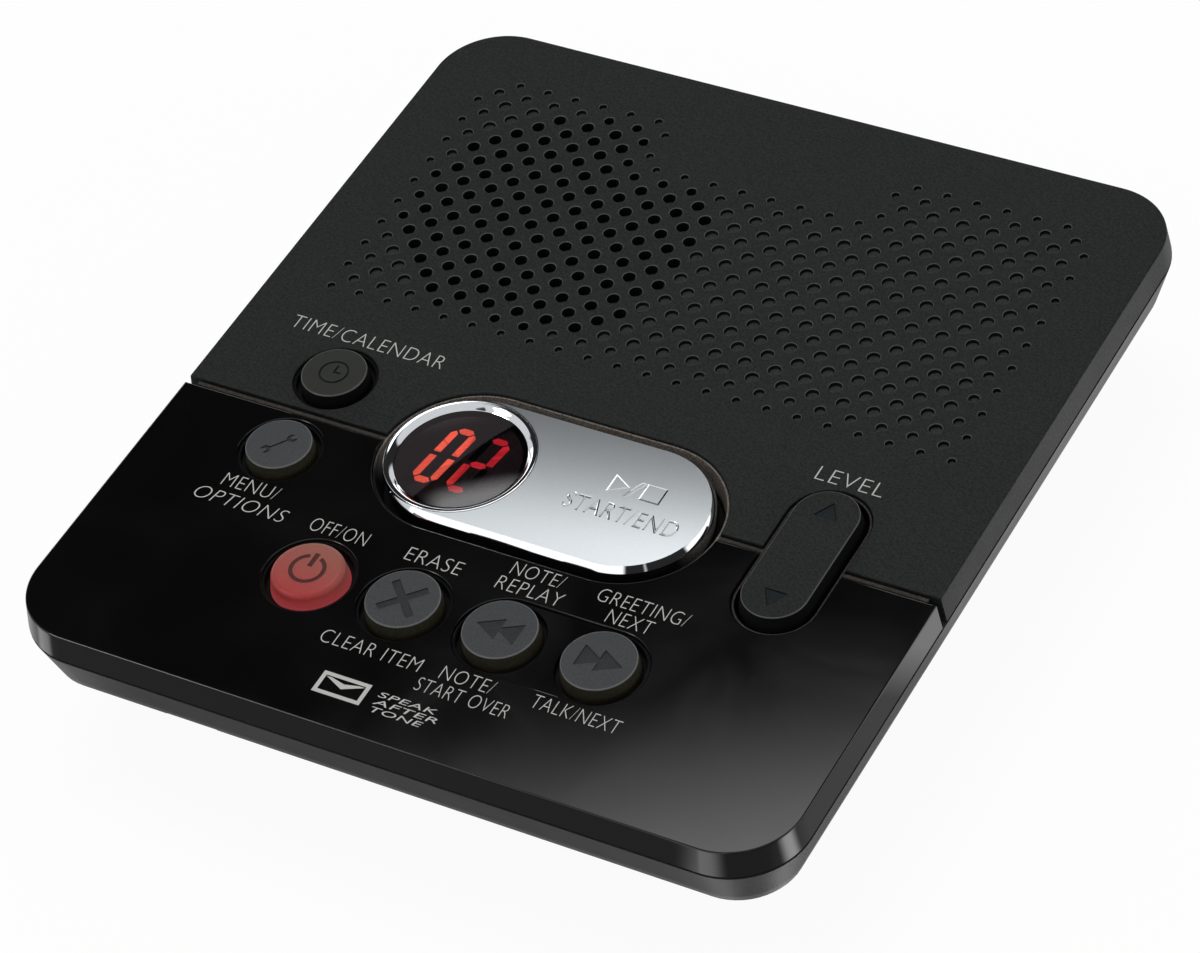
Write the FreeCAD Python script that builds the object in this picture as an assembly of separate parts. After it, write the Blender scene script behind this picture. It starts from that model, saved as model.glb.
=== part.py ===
"""Digital answering machine with a two-digit message counter.

The origin is in the middle of the surface that the feet stand on: +X to the right, +Y to the rear,
+Z up, all in millimetres.  Each sub-assembly has a function that returns {node name: solid}.
"""
import FreeCAD, Part
import math
import os

Vector = FreeCAD.Vector

# ---- case -------------------------------------------------------------------------------------
DECK_W = 138.0  # top face, left to right
DECK_D = 154.0  # top face, front to rear
CORNER_R = 12.0  # corners of the top face
BODY_H = 31.0  # top face above the table
EDGE_BEVEL = 0.4  # bevel round the top face
COVER_H = 5.0  # height of the covers' side walls
COVER_FLARE = 0.6  # how far the covers widen on each side, from deck to parting line
COVER_T = 1.8  # top plates of the covers
COVER_WALL = 1.8  # side walls of the covers
PART_GAP = 0.35  # shadow line between covers and base
GROOVE_FROM_FRONT = 57.85  # middle of the groove between the two covers
GROOVE_W = 1.6
LEDGE_DEPTH = 0.5  # the frame's ledges and the wells' steps lie this far below the deck
SEAT_GAP = 0.1  # clearance of parts that slip into each other once
FIT = 0.05  # running clearance

SKIRT_H = 8.6  # tapered side of the base
SKIRT_TAPER = 2.7  # how far the skirt draws in towards its lower edge
SKIRT_BEVEL = 0.5
SKIRT_FLOOR = 2.0  # plate under the skirt
NOTCH_X = -36.3  # notch in the skirt's lower front edge
NOTCH_W = 9.6
NOTCH_H = 0.7
TONGUE_T = 1.6  # upright rim of the base inside the covers
TUB_INSET = (15.0, 19.0, 7.0)  # deep middle of the base, from the deck's sides, front and rear
TUB_R = 8.0
TUB_WALL = 2.0
FOOT_H = 1.5
FOOT_R = 5.0
FOOT_INSET = (15.0, 8.5)  # from the tub's sides and from its front and rear

FRAME_T = 1.6
PARTING_SLOT = 0.35  # dark slot between the frame's rib and the rear cover

# ---- grille -----------------------------------------------------------------------------------
GRILLE_X = 0.0
GRILLE_FROM_REAR = 40.0
GRILLE_PITCH = 2.75  # half the distance of neighbouring holes in a row
GRILLE_ROW = 2.8  # distance between rows
GRILLE_HALF_COLS = 21
GRILLE_HALF_ROWS = 10
GRILLE_NOTCH_COLS = 8  # bare notch at the rear edge of the pattern
GRILLE_NOTCH_ROWS = 4  # depth of the notch
HOLE_R = 1.02  # full-size hole
HOLE_R_INNER_BORDER = 0.8
HOLE_R_BORDER = 0.58
HOLE_SIDES = 8

# ---- speaker ----------------------------------------------------------------------------------
SPEAKER_X = -29.75
SPEAKER_FROM_REAR = 41.0
SPEAKER_R = 28.5
SPEAKER_OPEN_R = 26.75  # holes within this radius go through
SPEAKER_LIP = 2.0
SPEAKER_DEPTH = 17.0
SPEAKER_RIM = 3.0  # flange of the basket
BASKET_T = 0.8
MAGNET_R = 16.0
MAGNET_H = 9.0
ROLL_W = 3.0  # surround of the cone
CONE_LIFT = 4.0  # foot of the cone above the basket's floor
PAPER_T = 0.5
CAP_R = 7.5  # dust cap
CAP_H = 2.2
TAG_W = 10.0  # terminal strip
TAG_H = 6.0
TAG_T = 1.8

# ---- keys -------------------------------------------------------------------------------------
ROW_PITCH = 17.6  # four keys of the front row
ROW_FROM_GROOVE = 31.25
ROW_KEY_R = 6.1  # at the top
ROW_WELL_R = 7.78
SIDE_INSET = 23.6  # clock and setup keys left, rocker right
SIDE_KEY_OFFSET = 8.85  # clock and setup keys from the groove
SIDE_KEY_R = 5.55
SIDE_WELL_R = 7.17
WELL_STEP = 0.5  # width of the step inside a well's mouth
KEY_PROUD = 1.45  # keys above the deck
KEY_DRAFT = 0.4  # keys are this much larger in radius at the frame
KEY_CAP = 1.5
KEY_WALL = 1.2
KEY_FLANGE = 0.9  # width and height of the rim that holds a key in
KEY_TRAVEL = 0.8
STEM_R = 2.0
STEM_T = 1.2  # ribs of a cross-shaped stem
LAMP_OFFSET = 3.2  # power lamp and dome either side of the key's axis
LAMP_R = 1.5
LAMP_H = 2.6

PLAY_END = 15.0  # centre of the round ends from the middle
PLAY_WELL_R = 15.7
PLAY_GAP = 2.0  # round the play key
PLAY_BEVEL_W = 0.7
PLAY_BEVEL_H = 1.1
PLAY_PROUD = 0.95
PLAY_POCKET = 5.0  # floor of the pocket below the deck
PLAY_LIFT = 1.0  # key above the pocket's floor
PLAY_TIP = 7.2  # how far the key's two tips reach past the ring's middle
PLAY_STEM_X = 14.0
PLAY_CLIP_X = (1.0, 26.0)
CLIP_W = 4.0
CLIP_T = 1.6
CLIP_HOOK = 0.8
COLLAR_LEDGE = 0.4  # flat rim of a collar
COLLAR_DRAFT = 0.8

DISPLAY_SHIFT = 1.3  # ring's axis beyond the well's end centre
RING_MARGIN = 1.1  # ring smaller in radius than the play key
RING_GAP = 0.15
RING_LAND = 0.6  # polished flat round the top of the ring
RING_W = 1.7  # from the ring's outside to the lens
LENS_T = 0.7
LENS_CROWN = 0.5
LENS_SEAT = 0.7  # underside of the lens below the deck
LENS_SHELF = 0.7  # width of the ring's shelf under the lens
DIGIT_H = 13.1
DIGIT_W = 6.0
DIGIT_PITCH = 6.3
DIGIT_SLANT = 8.0  # degrees
SEGMENT_W = 1.35
SEGMENT_GAP = 0.35
SEGMENT_T = 0.1

ROCKER_END = 8.8  # centre of the rocker's round ends from the pivot
ROCKER_WELL_R = 7.2
ROCKER_GAP = 0.5  # round the rocker, inside its collar
ROCKER_DRAFT = 0.7
ROCKER_END_GAP = 0.15
ROCKER_PROUD = 1.7
ROCKER_FOOT = 9.0
PIVOT_DROP = 5.4  # pivot below the deck
PIN_R = 1.0
BLOCK_T = 2.2  # bearing blocks of the pin
BLOCK_WALL = 0.8
ROCKER_SKIN = 0.3  # of the web under the pin

# ---- boards -----------------------------------------------------------------------------------
BOARD_DROP = 8.4  # top of the key board below the deck
BOARD_T = 1.6
BOARD_INSET = (9.0, 13.0)  # key board from the deck's sides and front
BOARD_TO_SPEAKER = 7.5
MAT_INSET = (7.0, 5.0, 1.0)  # mat from the key board's sides, front and rear
MAT_T = 0.8
DOME_H = 1.4
DOME_R = 2.8
DOME_WALL = 0.6
DOME_CROWN = 1.0  # thickness of a dome's crown
MAT_GAP = 0.6  # round what passes through the mat
LINE_BOARD_W = 52.0
LINE_BOARD_D = 76.0
LINE_BOARD_INSET = (10.0, 2.0)  # from the tub's right and rear walls
POST_INSET = 3.5  # screws from a board's edges
LINE_BOARD_LIFT = 1.2

# ---- sockets ----------------------------------------------------------------------------------
LINE_JACK_INSET = 11.0  # from the line board's right edge
JACK_PITCH = 18.0
DC_PITCH = 16.0
JACK_W = 13.4
JACK_H = 11.6
JACK_L = 18.0
NOSE_W = 12.4
NOSE_H = 9.4
NOSE_LIFT = 0.3  # nose above the jack's underside
SOCKET_W = 9.8
SOCKET_H = 6.8
SOCKET_L = 12.0
DC_W = 9.0
DC_H = 11.0
DC_L = 13.0
DC_NOSE_R = 4.2
DC_BORE_R = 3.1
DC_PIN_R = 1.0

# ---- screws -----------------------------------------------------------------------------------
POST_SIDES = 8  # bosses, screws and rubber domes repeat, so each is a plain prism
CAN_SIDES = 16  # cans of the capacitors
SCREW_R = 1.2
SCREW_HEAD_R = 2.6
SCREW_HEAD_H = 1.6
BOSS_R = 3.3
POST_R = 2.6  # posts of the two boards
TOWER_CAP = 3.0  # web under each housing screw's head
TOWER_INSET = 7.0  # housing screws from the tub's sides
BOSS_JOINT_Z = 14.0
COVER_SCREW_INSET = (7.5, 11.0)  # from the deck's sides and from its front and rear
COVER_SCREW_TO_GROOVE = 13.0
COVER_BOSS_R = 2.4
SPEAKER_SCREW_ANGLES = (90.0, 210.0, 330.0)

# ---- electronics: width, depth, height ----------------------------------------------------------
PROCESSOR = (14.0, 14.0, 1.4)
MEMORY = (12.0, 8.0, 1.2)
CRYSTAL = (11.0, 4.5, 3.5)
CAN_R = 3.0
CAN_H = 8.0
CAN_PITCH = 8.0
BULK_R = 5.0
BULK_H = 11.0
TRANSFORMER = (17.0, 12.0, 12.0)
WINDING = (11.0, 19.0, 9.0)
RELAY = (7.5, 15.0, 10.0)
STRIP = (12.8, 2.5, 2.5)
HEADER_PIN = 0.64
HEADER_PITCH = 2.54
HEADER_PINS = 5
CHIP_ROW = 16.0  # from the groove to the middle of the chips
PART_SPACE = 5.0  # between parts on a board
CHIP_TO_POST = 4.8  # from the middle post to the message memory
WIRE_T = 0.4
WIRE_H = 0.5
WIRE_PITCH = 1.27
WIRES = 4
LATCH_W = 4.0
LATCH_H = 1.4
SOCKET_LIFT = 0.6  # socket above the middle of the jack's nose
DC_FLOOR = 2.0

# ---- microphone -------------------------------------------------------------------------------
MIC_R = 3.0
MIC_H = 4.5
MIC_WALL = 1.0
MIC_TO_NOTCH = 2.0
NUB_W = 3.4
NUB_PROUD = 0.5
NUB_FROM_EDGE = 0.9

# ---- places that follow -------------------------------------------------------------------------
GROOVE_Y = GROOVE_FROM_FRONT - DECK_D / 2
ROW_Y = GROOVE_Y - ROW_FROM_GROOVE
SIDE_X = DECK_W / 2 - SIDE_INSET
GRILLE_Y = DECK_D / 2 - GRILLE_FROM_REAR
SPEAKER_Y = DECK_D / 2 - SPEAKER_FROM_REAR
PLAY_KEY_R = PLAY_WELL_R - PLAY_GAP
DISPLAY_X = -PLAY_END - DISPLAY_SHIFT
PLAY_TIP_X = DISPLAY_X - PLAY_TIP
RING_R = PLAY_KEY_R - RING_MARGIN
LENS_R = RING_R - RING_W
MODULE_SIDE = math.sqrt(2.0) * (LENS_R - LENS_SHELF - FIT)
ROCKER_SLOT_R = ROCKER_WELL_R - COLLAR_LEDGE - SEAT_GAP
ROCKER_BASE_R = ROCKER_SLOT_R - ROCKER_GAP
ROCKER_TOP_R = ROCKER_BASE_R - ROCKER_DRAFT
PIN_HALF = ROCKER_SLOT_R + BLOCK_T
TUB_HALF_W = DECK_W / 2 - TUB_INSET[0]
TUB_FRONT = TUB_INSET[1] - DECK_D / 2
TUB_REAR = DECK_D / 2 - TUB_INSET[2]
BOARD_HALF_W = DECK_W / 2 - BOARD_INSET[0]
BOARD_FRONT = BOARD_INSET[1] - DECK_D / 2
BOARD_REAR = SPEAKER_Y - SPEAKER_R - BOARD_TO_SPEAKER
LINE_RIGHT = TUB_HALF_W - TUB_WALL - LINE_BOARD_INSET[0]
LINE_REAR = TUB_REAR - TUB_WALL - LINE_BOARD_INSET[1]
LINE_LEFT = LINE_RIGHT - LINE_BOARD_W
LINE_FRONT = LINE_REAR - LINE_BOARD_D
LINE_JACK_X = LINE_RIGHT - LINE_JACK_INSET
PHONE_JACK_X = LINE_JACK_X - JACK_PITCH
DC_X = PHONE_JACK_X - DC_PITCH

DECK_Z = BODY_H
PART_Z = DECK_Z - COVER_H
RIM_Z = PART_Z - PART_GAP
SKIRT_Z = RIM_Z - SKIRT_H
LEDGE_Z = DECK_Z - LEDGE_DEPTH
FRAME_TOP = DECK_Z - COVER_T
FRAME_Z = FRAME_TOP - FRAME_T
POCKET_Z = DECK_Z - PLAY_POCKET
TUB_Z = FOOT_H
TUB_FLOOR_Z = TUB_Z + TUB_WALL
BOARD_TOP = DECK_Z - BOARD_DROP
BOARD_Z = BOARD_TOP - BOARD_T
MAT_TOP = BOARD_TOP + MAT_T
DOME_TOP = MAT_TOP + DOME_H
LINE_BOARD_Z = TUB_FLOOR_Z + LINE_BOARD_LIFT
LINE_BOARD_TOP = LINE_BOARD_Z + BOARD_T
JACK_Z = LINE_BOARD_TOP
SOCKET_Z = JACK_Z + NOSE_H / 2 + NOSE_LIFT
SPEAKER_TOP = FRAME_Z
SPEAKER_SCREW_R = SPEAKER_R + SPEAKER_LIP + SEAT_GAP
TONGUE_OUT = COVER_WALL + SEAT_GAP
TONGUE_IN = TONGUE_OUT + TONGUE_T

ROW_KEYS = {
    "power_key": -1.5 * ROW_PITCH,
    "erase_key": -0.5 * ROW_PITCH,
    "back_key": 0.5 * ROW_PITCH,
    "forward_key": 1.5 * ROW_PITCH,
}
SIDE_KEYS = {"clock_key": GROOVE_Y + SIDE_KEY_OFFSET, "setup_key": GROOVE_Y - SIDE_KEY_OFFSET}


# ---- basic shapes -----------------------------------------------------------------------------
def box(x0, y0, z0, x1, y1, z1):
    """Block between two corners."""
    return Part.makeBox(x1 - x0, y1 - y0, z1 - z0, Vector(x0, y0, z0))


def cylinder(x, y, z0, z1, radius):
    """Upright cylinder."""
    return Part.makeCylinder(radius, z1 - z0, Vector(x, y, z0))


def polygon(x, y, z, radius, sides):
    """Closed wire with equal sides."""
    turns = [2.0 * math.pi * (i + 0.5) / sides for i in range(sides + 1)]
    return Part.makePolygon([Vector(x + radius * math.cos(t), y + radius * math.sin(t), z) for t in turns])


def post(x, y, z0, z1, radius, sides=POST_SIDES):
    """Upright prism for what repeats."""
    return Part.Face(polygon(x, y, z0, radius, sides)).extrude(Vector(0, 0, z1 - z0))


def cross_stem(x, y, z0, z1):
    """Stem with four ribs."""
    wide = box(x - STEM_R, y - STEM_T / 2, z0, x + STEM_R, y + STEM_T / 2, z1)
    deep = box(x - STEM_T / 2, y - STEM_R, z0, x + STEM_T / 2, y + STEM_R, z1)
    return wide.fuse(deep)


def revolve(x, y, outline):
    """Solid of revolution about an upright axis from (radius, z) corners."""
    corners = [Vector(x + r, y, z) for r, z in outline]
    face = Part.Face(Part.makePolygon(corners + corners[:1]))
    return face.revolve(Vector(x, y, 0), Vector(0, 0, 1), 360)


def rounded_wire(x0, y0, x1, y1, radius, z):
    """Rectangle with round corners, as a closed wire at one height."""
    edges = []
    corners = ((x1, y1, 1, 1), (x0, y1, -1, 1), (x0, y0, -1, -1), (x1, y0, 1, -1))
    points = []
    for index, (x, y, sx, sy) in enumerate(corners):
        centre = Vector(x - sx * radius, y - sy * radius, z)
        start = 90.0 * index
        arc = [
            centre + Vector(radius * math.cos(math.radians(a)), radius * math.sin(math.radians(a)), 0)
            for a in (start, start + 45.0, start + 90.0)
        ]
        points.append(arc)
    for index, arc in enumerate(points):
        edges.append(Part.Arc(*arc).toShape())
        edges.append(Part.makeLine(arc[2], points[(index + 1) % 4][0]))
    return Part.Wire(edges)


def deck_wire(grow, z):
    """The top face's outline, grown outward."""
    half_w, half_d = DECK_W / 2 + grow, DECK_D / 2 + grow
    return rounded_wire(-half_w, -half_d, half_w, half_d, CORNER_R + grow, z)


def deck_block(grow, z0, z1):
    """Straight-sided block on the top face's outline, grown outward."""
    return Part.Face(deck_wire(grow, z0)).extrude(Vector(0, 0, z1 - z0))


def deck_loft(sections):
    """Tapered block through (z, grow) sections of the top face's outline."""
    return Part.makeLoft([deck_wire(grow, z) for z, grow in sections], True, True)


def stadium_wire(x, y, half, radius, z, upright):
    """Slot outline: two straight sides and two round ends; upright runs it along Y."""
    ends = []
    for start in (-90.0, 90.0):
        side = half if start < 0 else -half
        arc = []
        for angle in (start, start + 90.0, start + 180.0):
            u = side + radius * math.cos(math.radians(angle))
            v = radius * math.sin(math.radians(angle))
            arc.append(Vector(x - v, y + u, z) if upright else Vector(x + u, y + v, z))
        ends.append(arc)
    (first, second) = ends
    edges = [Part.Arc(*first).toShape(), Part.makeLine(first[2], second[0])]
    edges += [Part.Arc(*second).toShape(), Part.makeLine(second[2], first[0])]
    return Part.Wire(edges)


def stadium(x, y, half, sections, upright=False):
    """Slot-shaped solid through (z, radius) sections."""
    wires = [stadium_wire(x, y, half, radius, z, upright) for z, radius in sections]
    return Part.makeLoft(wires, True, True)


def fuse_all(shapes):
    """One shape out of several that touch."""
    first, *rest = shapes
    return first.multiFuse(rest).removeSplitter() if rest else first


# ---- grille -----------------------------------------------------------------------------------
def grille_sites():
    """Column, row and distance from the border of every place in the staggered grille."""
    sites = []
    for row in range(-GRILLE_HALF_ROWS, GRILLE_HALF_ROWS + 1):
        for col in range(-GRILLE_HALF_COLS, GRILLE_HALF_COLS + 1):
            beside_notch = min(GRILLE_HALF_ROWS - row, abs(col) - GRILLE_NOTCH_COLS)
            to_rear = max(beside_notch, GRILLE_HALF_ROWS - GRILLE_NOTCH_ROWS - row)
            depth = min(GRILLE_HALF_COLS - abs(col), row + GRILLE_HALF_ROWS, to_rear)
            corner = abs(col) == GRILLE_HALF_COLS and row == GRILLE_HALF_ROWS
            if (row + col) % 2 and depth >= 0 and not corner:
                sites.append((col, row, depth))
    return sites


def grille_cutters():
    """Prisms for the open holes over the speaker."""
    radii = (HOLE_R_BORDER, HOLE_R_INNER_BORDER)
    cutters = []
    for col, row, depth in grille_sites():
        x = GRILLE_X + col * GRILLE_PITCH
        y = GRILLE_Y + row * GRILLE_ROW
        if depth and math.hypot(x - SPEAKER_X, y - SPEAKER_Y) < SPEAKER_OPEN_R:
            radius = radii[depth] if depth < len(radii) else HOLE_R
            cutters.append(post(x, y, FRAME_TOP - 1, DECK_Z + 1, radius, HOLE_SIDES))
    return cutters


# ---- covers -----------------------------------------------------------------------------------
def cover_blank():
    """Both covers as one lid, before the groove parts them."""
    outer = deck_loft([(PART_Z, COVER_FLARE), (DECK_Z - EDGE_BEVEL, 0.0), (DECK_Z, -EDGE_BEVEL)])
    return outer.cut(deck_block(-COVER_WALL, PART_Z - 1, FRAME_TOP))


def cover_boss(x, y):
    """Boss under a cover that its screw bites into."""
    return post(x, y, FRAME_Z, FRAME_TOP, COVER_BOSS_R)


def cover_pilot(x, y):
    """Blind hole of a cover screw."""
    return post(x, y, FRAME_Z - 1, FRAME_TOP + 0.5 * COVER_T, SCREW_R)


def round_well(x, y, radius):
    """Stepped hole for a round key."""
    mouth = cylinder(x, y, LEDGE_Z, DECK_Z + 1, radius)
    return mouth.fuse(cylinder(x, y, FRAME_TOP - 1, DECK_Z + 1, radius - WELL_STEP))


def collar_cutters():
    """Openings in the covers for the frame's two collars."""
    levels = (FRAME_TOP - 1, DECK_Z + 1)
    play = stadium(0, GROOVE_Y, PLAY_END, [(z, PLAY_WELL_R) for z in levels])
    rocker = stadium(SIDE_X, GROOVE_Y, ROCKER_END, [(z, ROCKER_WELL_R) for z in levels], True)
    return [play, rocker]


def cover_points():
    """Places of the cover screws: the corners, and the right side before and behind the groove."""
    x = DECK_W / 2 - COVER_SCREW_INSET[0]
    y = DECK_D / 2 - COVER_SCREW_INSET[1]
    corners = [(side * x, end * y) for side in (-1, 1) for end in (-1, 1)]
    return corners + [(x, GROOVE_Y + side * COVER_SCREW_TO_GROOVE) for side in (-1, 1)]


def covers():
    """Rear cover with the grille, front cover with the key wells."""
    lid = cover_blank()
    rear_edge = GROOVE_Y + GROOVE_W / 2
    front_edge = GROOVE_Y - GROOVE_W / 2
    reach = max(DECK_W, DECK_D)
    rear_half = box(-reach, rear_edge, 0, reach, reach, BODY_H + 1)
    front_half = box(-reach, -reach, 0, reach, front_edge, BODY_H + 1)
    rear_screws = [p for p in cover_points() if p[1] > GROOVE_Y]
    front_screws = [p for p in cover_points() if p[1] < GROOVE_Y]

    rear = lid.common(rear_half).multiFuse([cover_boss(x, y) for x, y in rear_screws])
    rear = rear.cut(collar_cutters() + [round_well(-SIDE_X, SIDE_KEYS["clock_key"], SIDE_WELL_R)])
    rear = rear.cut([cover_pilot(x, y) for x, y in rear_screws])
    rear = rear.cut(grille_cutters())

    front = lid.common(front_half).multiFuse([cover_boss(x, y) for x, y in front_screws])
    wells = [round_well(x, ROW_Y, ROW_WELL_R) for x in ROW_KEYS.values()]
    wells.append(round_well(-SIDE_X, SIDE_KEYS["setup_key"], SIDE_WELL_R))
    pair_middle = (ROW_KEYS["back_key"] + ROW_KEYS["forward_key"]) / 2
    pair = stadium(pair_middle, ROW_Y, ROW_PITCH / 2, [(z, ROW_WELL_R) for z in (LEDGE_Z, DECK_Z + 1)])
    front = front.cut(collar_cutters() + wells + [pair])
    front = front.cut([cover_pilot(x, y) for x, y in front_screws])
    return {"rear_cover": rear, "front_cover": front}


# ---- inner frame ------------------------------------------------------------------------------
def play_collar():
    """Solid block of the play key's pocket and the funnel that hollows it."""
    outer_r = PLAY_WELL_R - SEAT_GAP
    block = stadium(0, GROOVE_Y, PLAY_END, [(POCKET_Z - FRAME_T, outer_r), (LEDGE_Z, outer_r)])
    mouth_r = PLAY_WELL_R - COLLAR_LEDGE
    levels = [(POCKET_Z, mouth_r - COLLAR_DRAFT), (LEDGE_Z + 0.01, mouth_r)]
    return block, stadium(0, GROOVE_Y, PLAY_END, levels)


def rocker_collar():
    """Solid block of the rocker's collar and the slot that hollows it."""
    outer_r = ROCKER_WELL_R - SEAT_GAP
    inner_r = ROCKER_SLOT_R
    block = stadium(SIDE_X, GROOVE_Y, ROCKER_END, [(FRAME_Z, outer_r), (LEDGE_Z, outer_r)], True)
    slot = stadium(SIDE_X, GROOVE_Y, ROCKER_END, [(FRAME_Z - 1, inner_r), (DECK_Z, inner_r)], True)
    return block, slot


def pivot_blocks():
    """Two bearing blocks that carry the rocker's pin."""
    pivot_z = DECK_Z - PIVOT_DROP
    half = PIN_R + BLOCK_WALL
    blocks = []
    for side in (-1, 1):
        x0, x1 = sorted((SIDE_X + side * ROCKER_SLOT_R, SIDE_X + side * PIN_HALF))
        blocks.append(box(x0, GROOVE_Y - half, pivot_z - half, x1, GROOVE_Y + half, FRAME_Z))
    return blocks


def key_radius_below(top_r):
    """Radius of a round key where it passes the frame."""
    return top_r + KEY_DRAFT


def clip_slots():
    """Slots in the pocket's floor for the play key's clips."""
    slots = []
    for x in PLAY_CLIP_X:
        x0, x1 = x - CLIP_T / 2 - FIT, x + CLIP_T / 2 + FIT
        if x > PLAY_STEM_X:
            x1 += CLIP_HOOK
        else:
            x0 -= CLIP_HOOK
        half = CLIP_W / 2 + FIT
        slots.append(box(x0, GROOVE_Y - half, POCKET_Z - FRAME_T - 1, x1, GROOVE_Y + half, POCKET_Z + 1))
    return slots


def pocket_holes():
    """Openings in the play pocket's floor for the display module, the stem on its dome and the clips."""
    z0, z1 = POCKET_Z - FRAME_T - 1, POCKET_Z + 1
    half = MODULE_SIDE / 2 + SEAT_GAP
    module = box(DISPLAY_X - half, GROOVE_Y - half, z0, DISPLAY_X + half, GROOVE_Y + half, z1)
    return [module, post(PLAY_STEM_X, GROOVE_Y, z0, z1, DOME_R + MAT_GAP)] + clip_slots()


def top_frame():
    """Plate under the covers, with the groove's rib, two collars, screw bosses and key guides."""
    plate = deck_block(-TONGUE_OUT, FRAME_Z, FRAME_TOP)
    rib_x = DECK_W / 2 - TONGUE_OUT
    rib_front = GROOVE_Y - GROOVE_W / 2 + SEAT_GAP
    rib_rear = GROOVE_Y + GROOVE_W / 2 - PARTING_SLOT
    rib = box(-rib_x, rib_front, FRAME_Z, rib_x, rib_rear, LEDGE_Z)
    play_block, funnel = play_collar()
    rocker_block, rocker_slot = rocker_collar()
    bosses = [post(x, y, BOSS_JOINT_Z, FRAME_Z, BOSS_R) for x, y in housing_points()]
    bosses += [post(x, y, SPEAKER_TOP - BASKET_T, FRAME_Z, SPEAKER_LIP) for x, y in speaker_points()]
    solid = fuse_all([plate, rib, play_block, rocker_block] + pivot_blocks() + bosses)

    cutters = [funnel, rocker_slot] + pocket_holes()
    cutters.append(cylinder(SPEAKER_X, SPEAKER_Y, FRAME_Z - 1, FRAME_TOP + 1, SPEAKER_OPEN_R + SEAT_GAP))
    for x, y, top_r in round_key_places():
        cutters.append(cylinder(x, y, FRAME_Z - 1, FRAME_TOP + 1, key_radius_below(top_r) + FIT))
    for x, y in cover_points():
        cutters.append(post(x, y, FRAME_Z - 1, FRAME_TOP + 1, COVER_BOSS_R + SEAT_GAP))
    for x, y in housing_points():
        cutters.append(post(x, y, BOSS_JOINT_Z - 1, FRAME_Z - 1, SCREW_R))
    for x, y in speaker_points():
        cutters.append(post(x, y, SPEAKER_TOP - BASKET_T - 1, FRAME_Z + 1, SCREW_R))
    cutters.append(cross_pin(PIN_R, PIN_HALF + 1))
    return {"top_frame": solid.cut(cutters)}


def cross_pin(radius, half_length):
    """Cylinder along X through the rocker's pivot."""
    start = Vector(SIDE_X - half_length, GROOVE_Y, DECK_Z - PIVOT_DROP)
    return Part.makeCylinder(radius, 2 * half_length, start, Vector(1, 0, 0))


def housing_points():
    """Places of the four housing screws, in the tub's corners."""
    x = TUB_HALF_W - TOWER_INSET
    ends = (TUB_FRONT + TOWER_INSET, TUB_REAR - TOWER_INSET)
    return [(side * x, y) for side in (-1, 1) for y in ends]


def board_points():
    """Places of the key board's screws: its corners and its middle."""
    x = BOARD_HALF_W - POST_INSET
    ends = (BOARD_FRONT + POST_INSET, BOARD_REAR - POST_INSET)
    corners = [(side * x, y) for side in (-1, 1) for y in ends]
    return corners + [(0.0, (GROOVE_Y - PLAY_WELL_R + ROW_Y + ROW_WELL_R) / 2)]


def line_points():
    """Places of the line board's screws, clear of the sockets at its rear."""
    sides = (LINE_LEFT + POST_INSET, LINE_RIGHT - POST_INSET)
    ends = (LINE_FRONT + POST_INSET, LINE_REAR - JACK_L - POST_INSET)
    return [(x, y) for x in sides for y in ends]


def speaker_points():
    """Places of the screws that hold the speaker by its rim."""
    places = []
    for degrees in SPEAKER_SCREW_ANGLES:
        angle = math.radians(degrees)
        x = SPEAKER_X + SPEAKER_SCREW_R * math.cos(angle)
        places.append((x, SPEAKER_Y + SPEAKER_SCREW_R * math.sin(angle)))
    return places


def round_key_places():
    """Axis and top radius of each round key."""
    places = [(x, ROW_Y, ROW_KEY_R) for x in ROW_KEYS.values()]
    return places + [(-SIDE_X, y, SIDE_KEY_R) for y in SIDE_KEYS.values()]


# ---- base -------------------------------------------------------------------------------------
def foot_points():
    """Places of the four feet."""
    across, along = FOOT_INSET
    x = TUB_HALF_W - across
    return [(side * x, y) for side in (-1, 1) for y in (TUB_FRONT + along, TUB_REAR - along)]


def tub_block(inset, z0, z1):
    """Block on the tub's outline, drawn in by inset."""
    wire = rounded_wire(
        inset - TUB_HALF_W, TUB_FRONT + inset, TUB_HALF_W - inset, TUB_REAR - inset, TUB_R - inset, z0
    )
    return Part.Face(wire).extrude(Vector(0, 0, z1 - z0))


def socket_windows():
    """Openings in the rear wall for the two jacks and the power socket."""
    y0, y1 = TUB_REAR - TUB_WALL - 1, TUB_REAR + 1
    windows = []
    for x in (LINE_JACK_X, PHONE_JACK_X):
        half_w, half_h = NOSE_W / 2 + SEAT_GAP, NOSE_H / 2 + SEAT_GAP
        windows.append(box(x - half_w, y0, SOCKET_Z - half_h, x + half_w, y1, SOCKET_Z + half_h))
    radius = DC_NOSE_R + SEAT_GAP
    windows.append(Part.makeCylinder(radius, y1 - y0, Vector(DC_X, y0, SOCKET_Z), Vector(0, 1, 0)))
    return windows


def mic_place():
    """Axis of the microphone, behind the skirt's front wall."""
    wall = -(DECK_D / 2 - TONGUE_IN)
    return NOTCH_X - NOTCH_W / 2 - MIC_TO_NOTCH, wall + MIC_R + MIC_WALL + SEAT_GAP


def mic_slot(gap):
    """Slot in the skirt's floor for the microphone boot's nub."""
    x, y = mic_place()
    edge = -(DECK_D / 2 + COVER_FLARE - SKIRT_TAPER) + NUB_FROM_EDGE
    half = NUB_W / 2 + gap
    return box(x - half, edge - gap, SKIRT_Z - NUB_PROUD, x + half, y, SKIRT_Z + SKIRT_FLOOR)


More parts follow.
